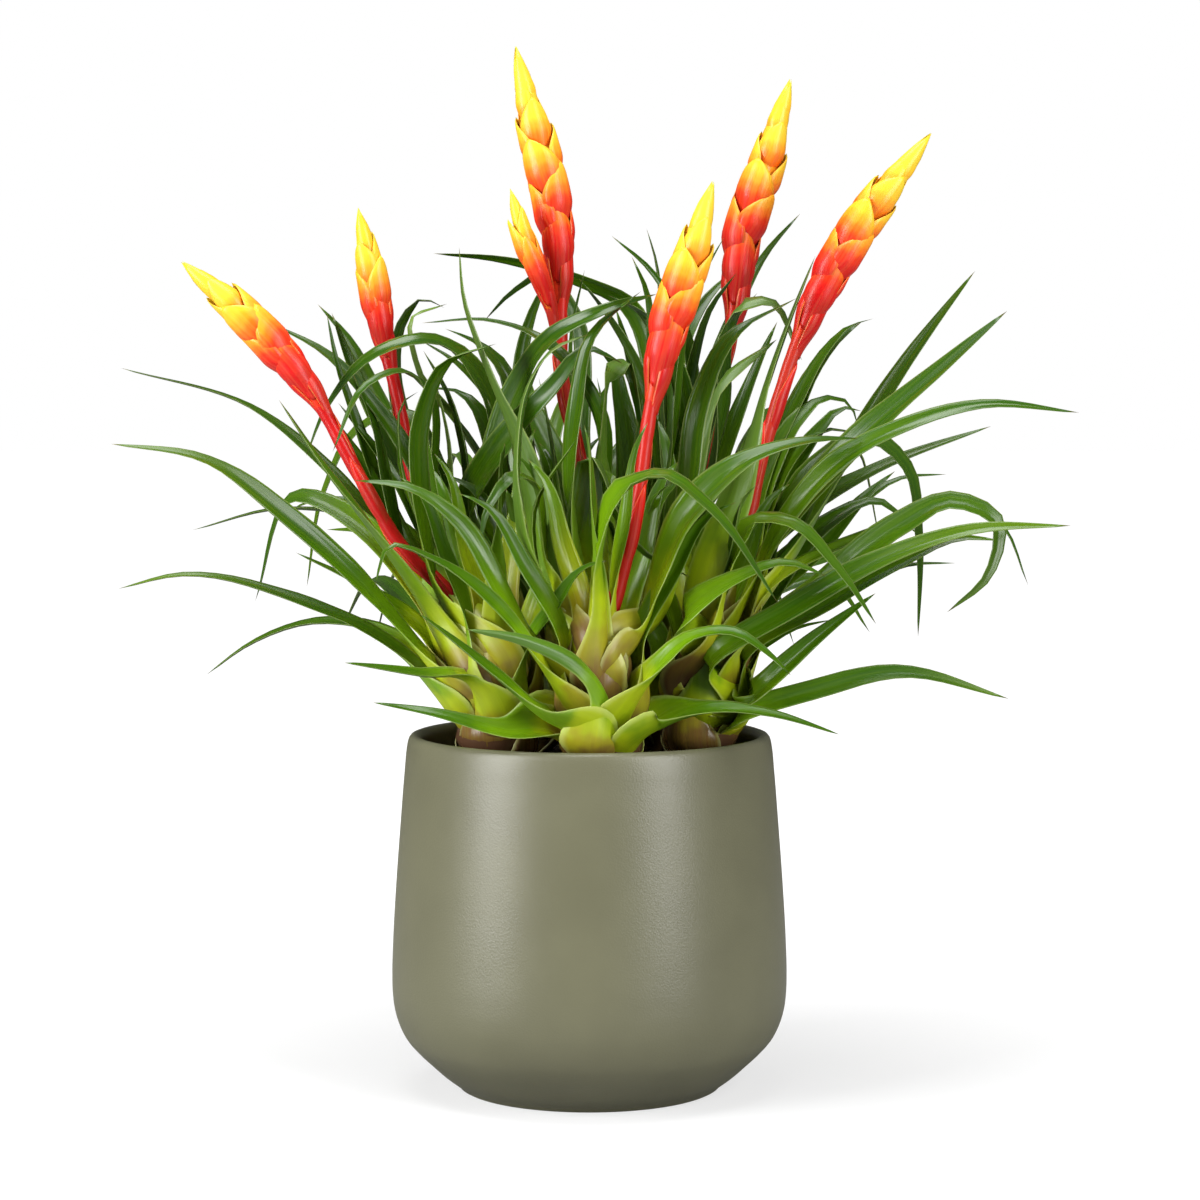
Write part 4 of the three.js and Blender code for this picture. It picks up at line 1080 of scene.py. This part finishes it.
# %% Vein group
veins, given, result = new_group(
    "parallel_veins",
    {"Across": 0.0, "Along": 0.0, "Seed": 0.0, "Per mm": 1.0, "Stretch": 40.0},
    ["Lines", "Streaks"],
)
fine = times(veins, given.outputs["Across"], given.outputs["Per mm"])
long = sum_of(veins, "DIVIDE", given.outputs["Along"], given.outputs["Stretch"])
own = times(veins, given.outputs["Seed"], 57.0)
spot = put(veins, "ShaderNodeCombineXYZ", {0: fine, 1: long, 2: own}).outputs[0]
noise = put(veins, "ShaderNodeTexNoise", {"Vector": spot, "Scale": 1.0, "Detail": 2.0})
veins.links.new(step_of(veins, noise.outputs["Fac"], 0.35, 0.65), result.inputs["Lines"])
wide = put(veins, "ShaderNodeVectorMath", {0: spot, "Scale": 0.35}, operation="SCALE")
slow = put(veins, "ShaderNodeTexNoise", {"Vector": wide.outputs[0], "Scale": 1.0})
veins.links.new(step_of(veins, slow.outputs["Fac"], 0.35, 0.65), result.inputs["Streaks"])
print("group", veins.name, "made")

# %% [markdown]
# ## Mottling, shared by pot, soil and leaves
# Nothing real is of one even colour. The group gives broad patches and fine grain from two
# noises on the object's own coordinates, in lengths of metres.

# %% Mottle group
mottle, given, result = new_group(
    "mottle", {"Patches per m": 20.0, "Grains per m": 600.0}, ["Patches", "Grain"]
)
here = put(mottle, "ShaderNodeTexCoord").outputs["Object"]
for key, source, detail in (("Patches", "Patches per m", 3.0), ("Grain", "Grains per m", 4.0)):
    noise = put(mottle, "ShaderNodeTexNoise",
                {"Vector": here, "Scale": given.outputs[source], "Detail": detail})
    mottle.links.new(step_of(mottle, noise.outputs["Fac"], 0.3, 0.7), result.inputs[key])


def mottle_of(tree, patches_per_m, grains_per_m):
    """The patches and the grain of the mottle group at these numbers to the metre."""
    inputs = {"Patches per m": patches_per_m, "Grains per m": grains_per_m}
    node = put(tree, "ShaderNodeGroup", inputs, node_tree=mottle)
    return node.outputs["Patches"], node.outputs["Grain"]


print("group", mottle.name, "made")

# %% [markdown]
# ## Leaf material
# A leaf is purple-brown where it is buried in the heart, then lime, then mid green, and
# deep green towards its tip. The underside is paler and greyer, and the sheath has a thin
# dry margin. Its skin is waxy, so gloss comes from a moderate roughness with streaks that
# follow the veins.

# %% Leaf material
leaf_skin, tree, shader = new_material("leaf_skin")
along_mm, tone = value_of(tree, "leaf_mm"), value_of(tree, "leaf_tone")
side, under = value_of(tree, "leaf_side"), value_of(tree, "leaf_under")
inner = value_of(tree, "leaf_inner")
lines = put(tree, "ShaderNodeGroup", {"Across": value_of(tree, "leaf_across"),
                                      "Along": along_mm, "Seed": tone}, node_tree=veins)
streaks = lines.outputs["Streaks"]
patches, _ = mottle_of(tree, 45.0, 900.0)
shift = sum_of(tree, "ADD", scaled(tree, tone, 30.0, -15.0), scaled(tree, patches, 14.0, -7.0))
span = step_of(tree, inner, 0.15, 0.6, 120.0, 210.0)
place = sum_of(tree, "DIVIDE", sum_of(tree, "ADD", along_mm, shift), span)
green = ramp_of(tree, place, [
    (0.0, (88, 60, 44)), (0.09, (120, 90, 44)), (0.155, (152, 144, 30)),
    (0.23, (166, 184, 20)), (0.35, (104, 144, 10)), (0.56, (62, 102, 4)),
    (0.82, (47, 86, 4)), (1.0, (42, 80, 4)),
])
# Painted shade: inner leaves are darkened beyond their sheaths, where the plant's own shade falls
painted_inner_shade = times(tree, inner, step_of(tree, along_mm, 50.0, 110.0))
green = blend_of(tree, times(tree, painted_inner_shade, 0.56), green, (26, 56, 2))
# Painted light: the far parts of outer leaves are blended to a lighter, yellower green
outer = step_of(tree, inner, 0.55, 0.1)
painted_outer_light = times(tree, outer, step_of(tree, along_mm, 90.0, 190.0, 0.0, 0.55))
green = blend_of(tree, painted_outer_light, green, (108, 138, 26))
# Fine light lines and broad dark streaks along the veins
light = blend_of(tree, 0.5, green, (164, 190, 30))
green = blend_of(tree, times(tree, lines.outputs["Lines"], 0.1), green, light)
dark = blend_of(tree, 0.6, green, (18, 46, 0))
green = blend_of(tree, times(tree, streaks, 0.22), green, dark)
# The paler underside, the dry margin and the brown tip
pale_share = step_of(tree, along_mm, 50.0, 110.0, 0.0, 0.24)
green = blend_of(tree, under, green, blend_of(tree, pale_share, green, (120, 148, 70)))
margin = step_of(tree, sum_of(tree, "ABSOLUTE", side), 0.86, 1.0)
near = step_of(tree, along_mm, 70.0, 20.0)
green = blend_of(tree, times(tree, margin, scaled(tree, near, 0.2, 0.2)), green, (196, 204, 130))
brown = step_of(tree, value_of(tree, "leaf_share"), 0.975, 1.0, 0.0, 0.75)
green = blend_of(tree, brown, green, (120, 96, 48))
rough = sum_of(tree, "ADD", scaled(tree, streaks, 0.14, 0.2), times(tree, under, 0.12))
feed(tree, shader, {"Base Color": green, "Roughness": rough, "Specular IOR Level": 0.4,
                    "Normal": bump_of(tree, streaks, 0.15, 0.0006)})
print(leaf_skin.name, len(tree.nodes), "nodes")

# %% [markdown]
# ## Bract material
# Each bract is red where it starts and yellower towards its point, and the whole head
# shifts from red below to lemon above, so one ramp read with the sum of both gives every
# bract its own colours. The wax gives soft broad highlights through a thin coat.

# %% Bract material
BRACT_LENGTH = 35.0
bract_wax, tree, shader = new_material("bract_wax")
along, share = value_of(tree, "bract_along"), value_of(tree, "head_share")
tone, side = value_of(tree, "bract_tone"), value_of(tree, "bract_side")
lines = put(tree, "ShaderNodeGroup", {
    "Across": value_of(tree, "bract_across"), "Along": times(tree, along, BRACT_LENGTH),
    "Seed": tone, "Per mm": 1.2}, node_tree=veins)
streaks = lines.outputs["Streaks"]
across = sum_of(tree, "ABSOLUTE", side)
rise = scaled(tree, share, 0.75, step_of(tree, along, 0.3, 1.0, 0.0, 0.45))
rise = scaled(tree, step_of(tree, across, 0.35, 1.0), 0.06, rise)
rise = scaled(tree, tone, 0.06, sum_of(tree, "SUBTRACT", rise, 0.06))
rise = scaled(tree, streaks, 0.05, rise)
wax = ramp_of(tree, sum_of(tree, "DIVIDE", rise, 1.15), [
    (0.0, (184, 8, 12)), (0.20, (208, 14, 12)), (0.32, (226, 46, 10)),
    (0.43, (240, 108, 16)), (0.54, (243, 154, 28)), (0.68, (240, 188, 38)),
    (0.84, (230, 198, 46)), (1.0, (212, 198, 50)),
])
light = blend_of(tree, 0.5, wax, (255, 226, 150))
wax = blend_of(tree, times(tree, lines.outputs["Lines"], 0.08), wax, light)
wax = blend_of(tree, step_of(tree, across, 0.9, 1.0, 0.0, 0.3), wax, (248, 176, 84))
feed(tree, shader, {
    "Base Color": wax, "Roughness": scaled(tree, streaks, 0.08, 0.32),
    "Normal": bump_of(tree, lines.outputs["Lines"], 0.18, 0.0002),
    "Specular IOR Level": 0.3, "Coat Weight": 0.08, "Coat Roughness": 0.2})
print(bract_wax.name, len(tree.nodes), "nodes")

# %% [markdown]
# ## The rosettes
# Every plant's leaves, its heart and the dry scales between the leaf bases are one piece,
# as they are on the plant. Short upright leaves, set by a rule, fill each heart.

# %% Rosettes
HEART_PROFILE = [(0.01, -14), (6, -14), (6, 0.8), (11, 3), (16, 13), (13, 26), (7, 40),
                 (0.01, 40)]
HEART_SIDES = 24
HEART_SCALES = 6
HEART_LEAVES = 8
LEAF_TURN = 137.5
# From the lowest to the highest short leaf, in millimetres
SHORT_REACH, SHORT_RISE = (62, 26), (70, 118)
SHORT_LEVEL, SHORT_WIDTH = (5, 28), (13, 10)
# From the lowest to the highest scale: how far it stands from the heart's axis
SCALE_RADIUS = (17.5, 13.5)


def turned_rings(profile, around):
    """Rings of a profile of radius and height carried round an upright axis."""
    angle = np.linspace(0, 2 * np.pi, around + 1)[:-1]
    radius, height = profile[:, :1], profile[:, 1:]
    return np.stack([radius * np.cos(angle), radius * np.sin(angle), height + 0 * angle],
                    axis=-1)


def heart_surface(plant, seed):
    """The profile of the heart turned round its axis."""
    profile = np.array(HEART_PROFILE)
    foot = [*PLANTS[plant], SOIL_LEVEL]
    rings = turned_rings(profile[:-1], HEART_SIDES).reshape(-1, 3)
    places = np.vstack([rings, [0, 0, profile[-1, 1]]]) + foot
    attributes = plain_values(LEAF_VALUES, len(places), leaf_mm=6, leaf_tone=draw(seed),
                              leaf_inner=1)
    return places, closed_faces(len(profile) - 1, HEART_SIDES), attributes


def heart_scales(plant, seed):
    """Short broad scales that hug the heart in a spiral, with a leaf's values on them."""
    x, y = PLANTS[plant]
    axis = Curve([(x, y, SOIL_LEVEL + rise) for rise in (-4, SEAT_HEIGHT, 90)])
    shapes = []
    for k in range(HEART_SCALES):
        share = k / (HEART_SCALES - 1)
        places, faces, old = bract_surface(
            axis, start=1 + 7 * share, length=mix(24, 32, draw(seed + k)),
            turn=BRACT_TURN * k + seed, half=15.0, belly=mix(*SCALE_RADIUS, share),
            head_share=0, seed=seed + k, thick=0.9)
        attributes = plain_values(
            LEAF_VALUES, len(places), leaf_mm=1 + 13 * old["bract_along"], leaf_share=0.3,
            leaf_side=old["bract_side"], leaf_across=old["bract_across"],
            leaf_under=old["bract_under"], leaf_tone=old["bract_tone"], leaf_inner=share)
        shapes.append((places, faces, attributes))
    return shapes


def filling_leaf(plant, k, seed):
    """A row for a short upright leaf of the heart, the steeper the higher it starts."""
    azimuth, share = LEAF_TURN * k + 40 * seed, k / (HEART_LEAVES - 1)
    reach = mix(*SHORT_REACH, share) * mix(0.85, 1.15, draw(seed + 7 * k))
    rise = mix(*SHORT_RISE, share) * mix(0.8, 1.15, draw(seed + 9 * k + 1))
    steps = [(0.3, 0.32), (0.55, 0.66), (0.8, 0.93), (1.0, 1.0)]
    level, width = mix(*SHORT_LEVEL, share), mix(*SHORT_WIDTH, share)
    return (plant, level, azimuth, width, *risen(plant, azimuth, reach, rise, steps))


short = [filling_leaf(plant, k, p + 1) for p, plant in enumerate(PLANTS)
         for k in range(HEART_LEAVES)]
dressed = leaves + [rooted(row) for row in YOUNG_LEAVES + short]
for p, plant in enumerate(PLANTS):
    shapes = [leaf_surface(leaf, 11 * k) for k, leaf in enumerate(dressed)
              if leaf["plant"] == plant]
    shapes += [heart_surface(plant, p)] + heart_scales(plant, 50 + 13 * p)
    places, faces, attributes = gathered(shapes)
    piece_of(f"leaves_{plant}", places, faces, f"rosette_{plant}", attributes, leaf_skin)

# %% [markdown]
# ## The spikes
# A spike is a round red stem with long clasping scales and its head of bracts. The middle
# plant's spike carries a second, smaller head.

# %% Spikes
WARMTH = {"left": 0.05, "backleft": 0.04, "middle": 0.02, "front": 0.0, "backright": -0.06,
          "right": -0.02}
SCALE_START, SCALE_SPACING, SCALE_LENGTH = 22, 26, 40
SCALE_HALF, SCALE_BELLY, SCALE_THICKNESS = 5.2, 3.1, 0.4
SCALE_SHARE, STEM_SHARE = -0.22, 0.02
EXTRA_BRACTS = 3
SIDE_HALF, SIDE_BRACTS = 0.62, 8
for p, spike in enumerate(SPIKES):
    plant, head_start, half, count = spike[:4]
    curve = Curve(stem_points(spike))
    start = curve.length * head_start
    warmth, seed = WARMTH[plant], 100 * p
    shapes = [tube_surface(curve, start + 12, SCAPE_RADIUS, STEM_SHARE, seed)]
    for k, begin in enumerate(np.arange(SCALE_START, start - SCALE_START, SCALE_SPACING)):
        shapes.append(bract_surface(
            curve, begin, SCALE_LENGTH, BRACT_TURN * k + p, SCALE_HALF, SCALE_BELLY,
            SCALE_SHARE, seed + 60 + k, SCALE_THICKNESS))
    shapes += head_surfaces(curve, start, half, count + EXTRA_BRACTS, warmth, seed)
    if plant == "middle":
        branch = Curve(SIDE_BRANCH)
        shapes.append(tube_surface(branch, 20, SCAPE_RADIUS * 0.8, STEM_SHARE, seed + 1))
        shapes += head_surfaces(branch, 8, half * SIDE_HALF, SIDE_BRACTS, warmth, seed + 30)
    places, faces, attributes = gathered(shapes)
    piece_of(f"flower_{plant}", places, faces, f"spike_{plant}", attributes, bract_wax)

# %% [markdown]
# ## The pot
# The pot is thrown ceramic: a short cone above a flat foot, a round belly low down, almost
# straight walls that lean in and a rounded rim. It is turned from one smooth profile, so
# nothing shows where the outside becomes the rim and the rim the inside.

# %% Pot
POT_OUTSIDE = [(54.0, 1.2), (60.4, 6.0), (65.8, 10.9), (71, 15.9), (75.3, 21), (78, 26.4),
               (79.8, 32.5), (80.6, 39), (80.8, 46), (80.4, 60), (79, 84), (77.2, 108),
               (75.4, 130), (74.4, 140), (74.0, 142.2)]
RIM_ROUND = [(73.4, 143.8), (72.4, 144.8), (71.2, 145.0), (70.0, 144.7), (69.0, 143.8),
             (68.4, 142.2)]
PROFILE_STEP = 1.3
POT_SIDES = 160
POT_INSIDE = [(68.6, 138), (70.4, 118), (73, 84), (74.8, 46), (71, 26), (62, 13), (54, 8.4)]


def smooth_profile(points):
    """The curve through a profile's points at even steps, as radius and height."""
    curve = Curve([(radius, 0, height) for radius, height in points])
    places = curve.at(np.linspace(0, curve.length, int(curve.length / PROFILE_STEP)))[0]
    return places[:, [0, 2]]


def turned_faces(rings, around):
    """Faces of a skin turned round the axis, closed by a middle point at each end."""
    k = np.arange(around)
    following, top, none = (k + 1) % around, (rings - 1) * around, np.full(around, -1)
    last = np.full(around, rings * around)
    first = np.stack([following, k, last, none], axis=-1)
    end = np.stack([top + k, top + following, last + 1, none], axis=-1)
    return np.vstack([skin_faces(rings, around), first, end])


def turned_surface(profile, around):
    """A profile carried round the axis, with both ends closed in the axis."""
    rings = turned_rings(profile, around)
    ends = [(0, 0, profile[0, 1]), (0, 0, profile[-1, 1])]
    return np.vstack([rings.reshape(-1, 3), ends]), turned_faces(len(profile), around)


pot_glaze, tree, shader = new_material("pot_glaze")
patches, grain = mottle_of(tree, 26.0, 1300.0)
sage = blend_of(tree, patches, (98, 97, 75), (103, 102, 79))
sage = blend_of(tree, times(tree, grain, 0.18), sage, (101, 101, 80))
feed(tree, shader, {"Base Color": sage, "Roughness": scaled(tree, patches, 0.04, 0.33),
                    "Normal": bump_of(tree, grain, 0.12, 0.0003)})
foot = [(0.5, 1.6), (46, 1.6), (47.5, 0.2), (49, 0.0), (52.6, 0.0), (53.6, 0.5)]
outline = smooth_profile(POT_OUTSIDE + RIM_ROUND + POT_INSIDE)
profile = np.vstack([foot, outline, [(30, 8.0), (0.5, 8.0)]])
places, faces = turned_surface(profile, POT_SIDES)
piece_of("glazed_pot", places, faces, "pot", {}, pot_glaze)

# %% [markdown]
# ## The soil
# Dark potting soil fills the pot to just below the rim. Its top is a lumpy surface, and
# chips of bark lie on it. Each chip is a small flattened lump with few faces, because there
# are many of them.

# %% Soil
CHIPS = 260
CHIP_RINGS, CHIP_SIDES = 5, 7
CHIP_LONG, CHIP_WIDE, CHIP_FLAT = (2.2, 5.5), (1.4, 3), (0.7, 1.6)
SOIL_SIDES = 150
BARE_RADIUS, CHIP_RADIUS, HEART_CLEARANCE = 67, 62, 12


def lumps(x, y):
    """A sum of crossed sines of different lengths, in millimetres of height."""
    high = np.sin(x / 3.1 + 1.3 * np.sin(y / 4.7)) * np.cos(y / 3.7 + np.sin(x / 5.3))
    return 0.7 * high + 0.45 * np.sin(x / 1.3 + y / 1.9) * np.cos(y / 1.1 - x / 2.3)


def chip_surface(x, y, seed):
    """A lump on a coarse grid of angles, drawn longer, flatter and turned by its seed."""
    tall = np.linspace(-np.pi / 2, np.pi / 2, CHIP_RINGS + 2)[1:-1, None]
    angle = np.linspace(0, 2 * np.pi, CHIP_SIDES + 1)[None, :-1]
    long, wide = mix(*CHIP_LONG, draw(seed)), mix(*CHIP_WIDE, draw(seed + 1))
    flat = mix(*CHIP_FLAT, draw(seed + 2))
    rough = 1 + 0.22 * np.sin(3 * angle + 5 * tall + seed)
    px = long * np.cos(tall) * np.cos(angle) * rough
    py = wide * np.cos(tall) * np.sin(angle) * rough
    pz = flat * np.sin(tall) + 0 * px
    turn, tilt = NEARLY_ROUND * draw(seed + 3), mix(-0.4, 0.4, draw(seed + 4))
    pz = pz + px * tilt
    spun = np.stack([px * np.cos(turn) - py * np.sin(turn) + x,
                     px * np.sin(turn) + py * np.cos(turn) + y, pz + lumps(x, y)
                     + SOIL_LEVEL + 0.6 * flat], axis=-1)
    middle = spun.reshape(-1, 3).mean(axis=0)
    ends = [middle - [0, 0, flat], middle + [0, 0, flat]]
    places = np.vstack([spun.reshape(-1, 3), ends])
    tone = np.full(len(places), 0.3 + 0.7 * draw(seed + 5))
    return places, turned_faces(CHIP_RINGS, CHIP_SIDES), {"chip": tone}


soil_dark, tree, shader = new_material("soil_dark")
patches, grain = mottle_of(tree, 120.0, 1500.0)
dark = blend_of(tree, patches, (40, 28, 20), (70, 50, 34))
bark = blend_of(tree, patches, (98, 66, 42), (132, 92, 60))
dark = blend_of(tree, value_of(tree, "chip"), dark, bark)
dark = blend_of(tree, times(tree, grain, 0.5), dark, (26, 18, 13))
feed(tree, shader, {"Base Color": dark, "Roughness": 0.92,
                    "Normal": bump_of(tree, grain, 0.7, 0.001)})
side = [(0.5, 8.4), (40, 8.4), (53, 8.6), (61, 13.8), (70, 27), (73.8, 46), (72.4, 84)]
top = [(69.8, 118), (68.6, 128), (67.6, SOIL_LEVEL)]
inward = [(radius, SOIL_LEVEL) for radius in np.linspace(66.5, 0.5, 60)]
profile = np.array(side + top + inward)
places, faces = turned_surface(profile, SOIL_SIDES)
inside = np.hypot(places[:, 0], places[:, 1]) < BARE_RADIUS
surface = (places[:, 2] > SOIL_LEVEL - 0.1) & inside
places[surface, 2] += lumps(places[surface, 0], places[surface, 1])
shapes = [(places, faces, {"chip": np.zeros(len(places))})]
for k in range(CHIPS):
    far = 66 * math.sqrt(draw(400 + 3 * k))
    angle = NEARLY_ROUND * draw(401 + 3 * k)
    x, y = far * math.cos(angle), far * math.sin(angle)
    to_heart = min(math.hypot(x - a, y - b) for a, b in PLANTS.values())
    if far < CHIP_RADIUS and to_heart > HEART_CLEARANCE:
        shapes.append(chip_surface(x, y, 900 + 7 * k))
places, faces, attributes = gathered(shapes)
piece_of("soil_and_bark", places, faces, "soil", attributes, soil_dark)

# %% [markdown]
# ## Floor and light
# The pot stands on a white studio floor that meets a white background without a line. Big
# soft lamps stand left and right, one hangs overhead and a faint one fills in from the
# front. Their reflections draw the long soft bands on the pot and the streaks on the
# leaves. What the lens sees as sky is plain white, while the plant itself is lit by a
# dimmer sky, so that its shadows keep some depth.

# %% Studio
scene = bpy.context.scene
scene.view_settings.view_transform = "Standard"
FLOOR_GLOW_NEAR, FLOOR_GLOW_FAR = 0.64, 1.0
FLOOR_GREY = (0.32, 0.32, 0.32, 1)
WHITE = (1, 1, 1, 1)
SKY = 0.1
AIM_HEIGHT = 0.2
floor_paint, tree, shader = new_material("floor_paint")
here = put(tree, "ShaderNodeTexCoord").outputs["Object"]
away = put(tree, "ShaderNodeVectorMath", {0: here}, operation="LENGTH").outputs["Value"]
glow = step_of(tree, away, 0.12, 0.8, FLOOR_GLOW_NEAR, FLOOR_GLOW_FAR)
glow = times(tree, glow, put(tree, "ShaderNodeLightPath").outputs["Is Camera Ray"])
grey = put(tree, "ShaderNodeCombineColor", {0: glow, 1: glow, 2: glow}).outputs[0]
feed(tree, shader, {"Base Color": FLOOR_GREY, "Roughness": 0.9, "Specular IOR Level": 0.0,
                    "Emission Strength": 1.0, "Emission Color": grey})
mesh = bpy.data.meshes.new("floor")
mesh.from_pydata([(-9, -6, 0), (9, -6, 0), (9, 12, 0), (-9, 12, 0)], [], [(0, 1, 2, 3)])
mesh.materials.append(floor_paint)
floor = bpy.data.objects.new("floor", mesh)
scene.collection.objects.link(floor)

world = bpy.data.worlds.new("white_studio")
scene.world = world
world.use_nodes = True
tree = world.node_tree
tree.nodes.clear()
to_lens = put(tree, "ShaderNodeLightPath").outputs["Is Camera Ray"]
sky = put(tree, "ShaderNodeBackground", {"Color": WHITE, "Strength": SKY})
plain = put(tree, "ShaderNodeBackground", {"Color": WHITE, "Strength": 1.0})
both = put(tree, "ShaderNodeMixShader", {0: to_lens, 1: sky.outputs[0], 2: plain.outputs[0]})
put(tree, "ShaderNodeOutputWorld", {"Surface": both.outputs[0]})

LAMPS = {
    "key_left": ((-1.1, -0.7, 0.55), (0.66, 1.2), 27.5),
    "key_right": ((0.85, -0.85, 0.6), (0.54, 1.2), 17.5),
    "overhead": ((-0.1, -0.1, 1.5), (1.0, 0.8), 18),
    "front_fill": ((-0.4, -1.9, 1.3), (0.6, 0.5), 1),
}
for name, (spot, size, power) in LAMPS.items():
    lamp = bpy.data.lights.new(name, "AREA")
    lamp.shape = "RECTANGLE"
    lamp.size, lamp.size_y = size
    lamp.energy = power
    holder = bpy.data.objects.new(name, lamp)
    holder.location = spot
    aim = np.array([0, 0, AIM_HEIGHT]) - np.array(spot)
    scene.collection.objects.link(holder)
    holder.rotation_euler = Vector(aim).to_track_quat("-Z", "Y").to_euler()
print(len(LAMPS), "lamps")
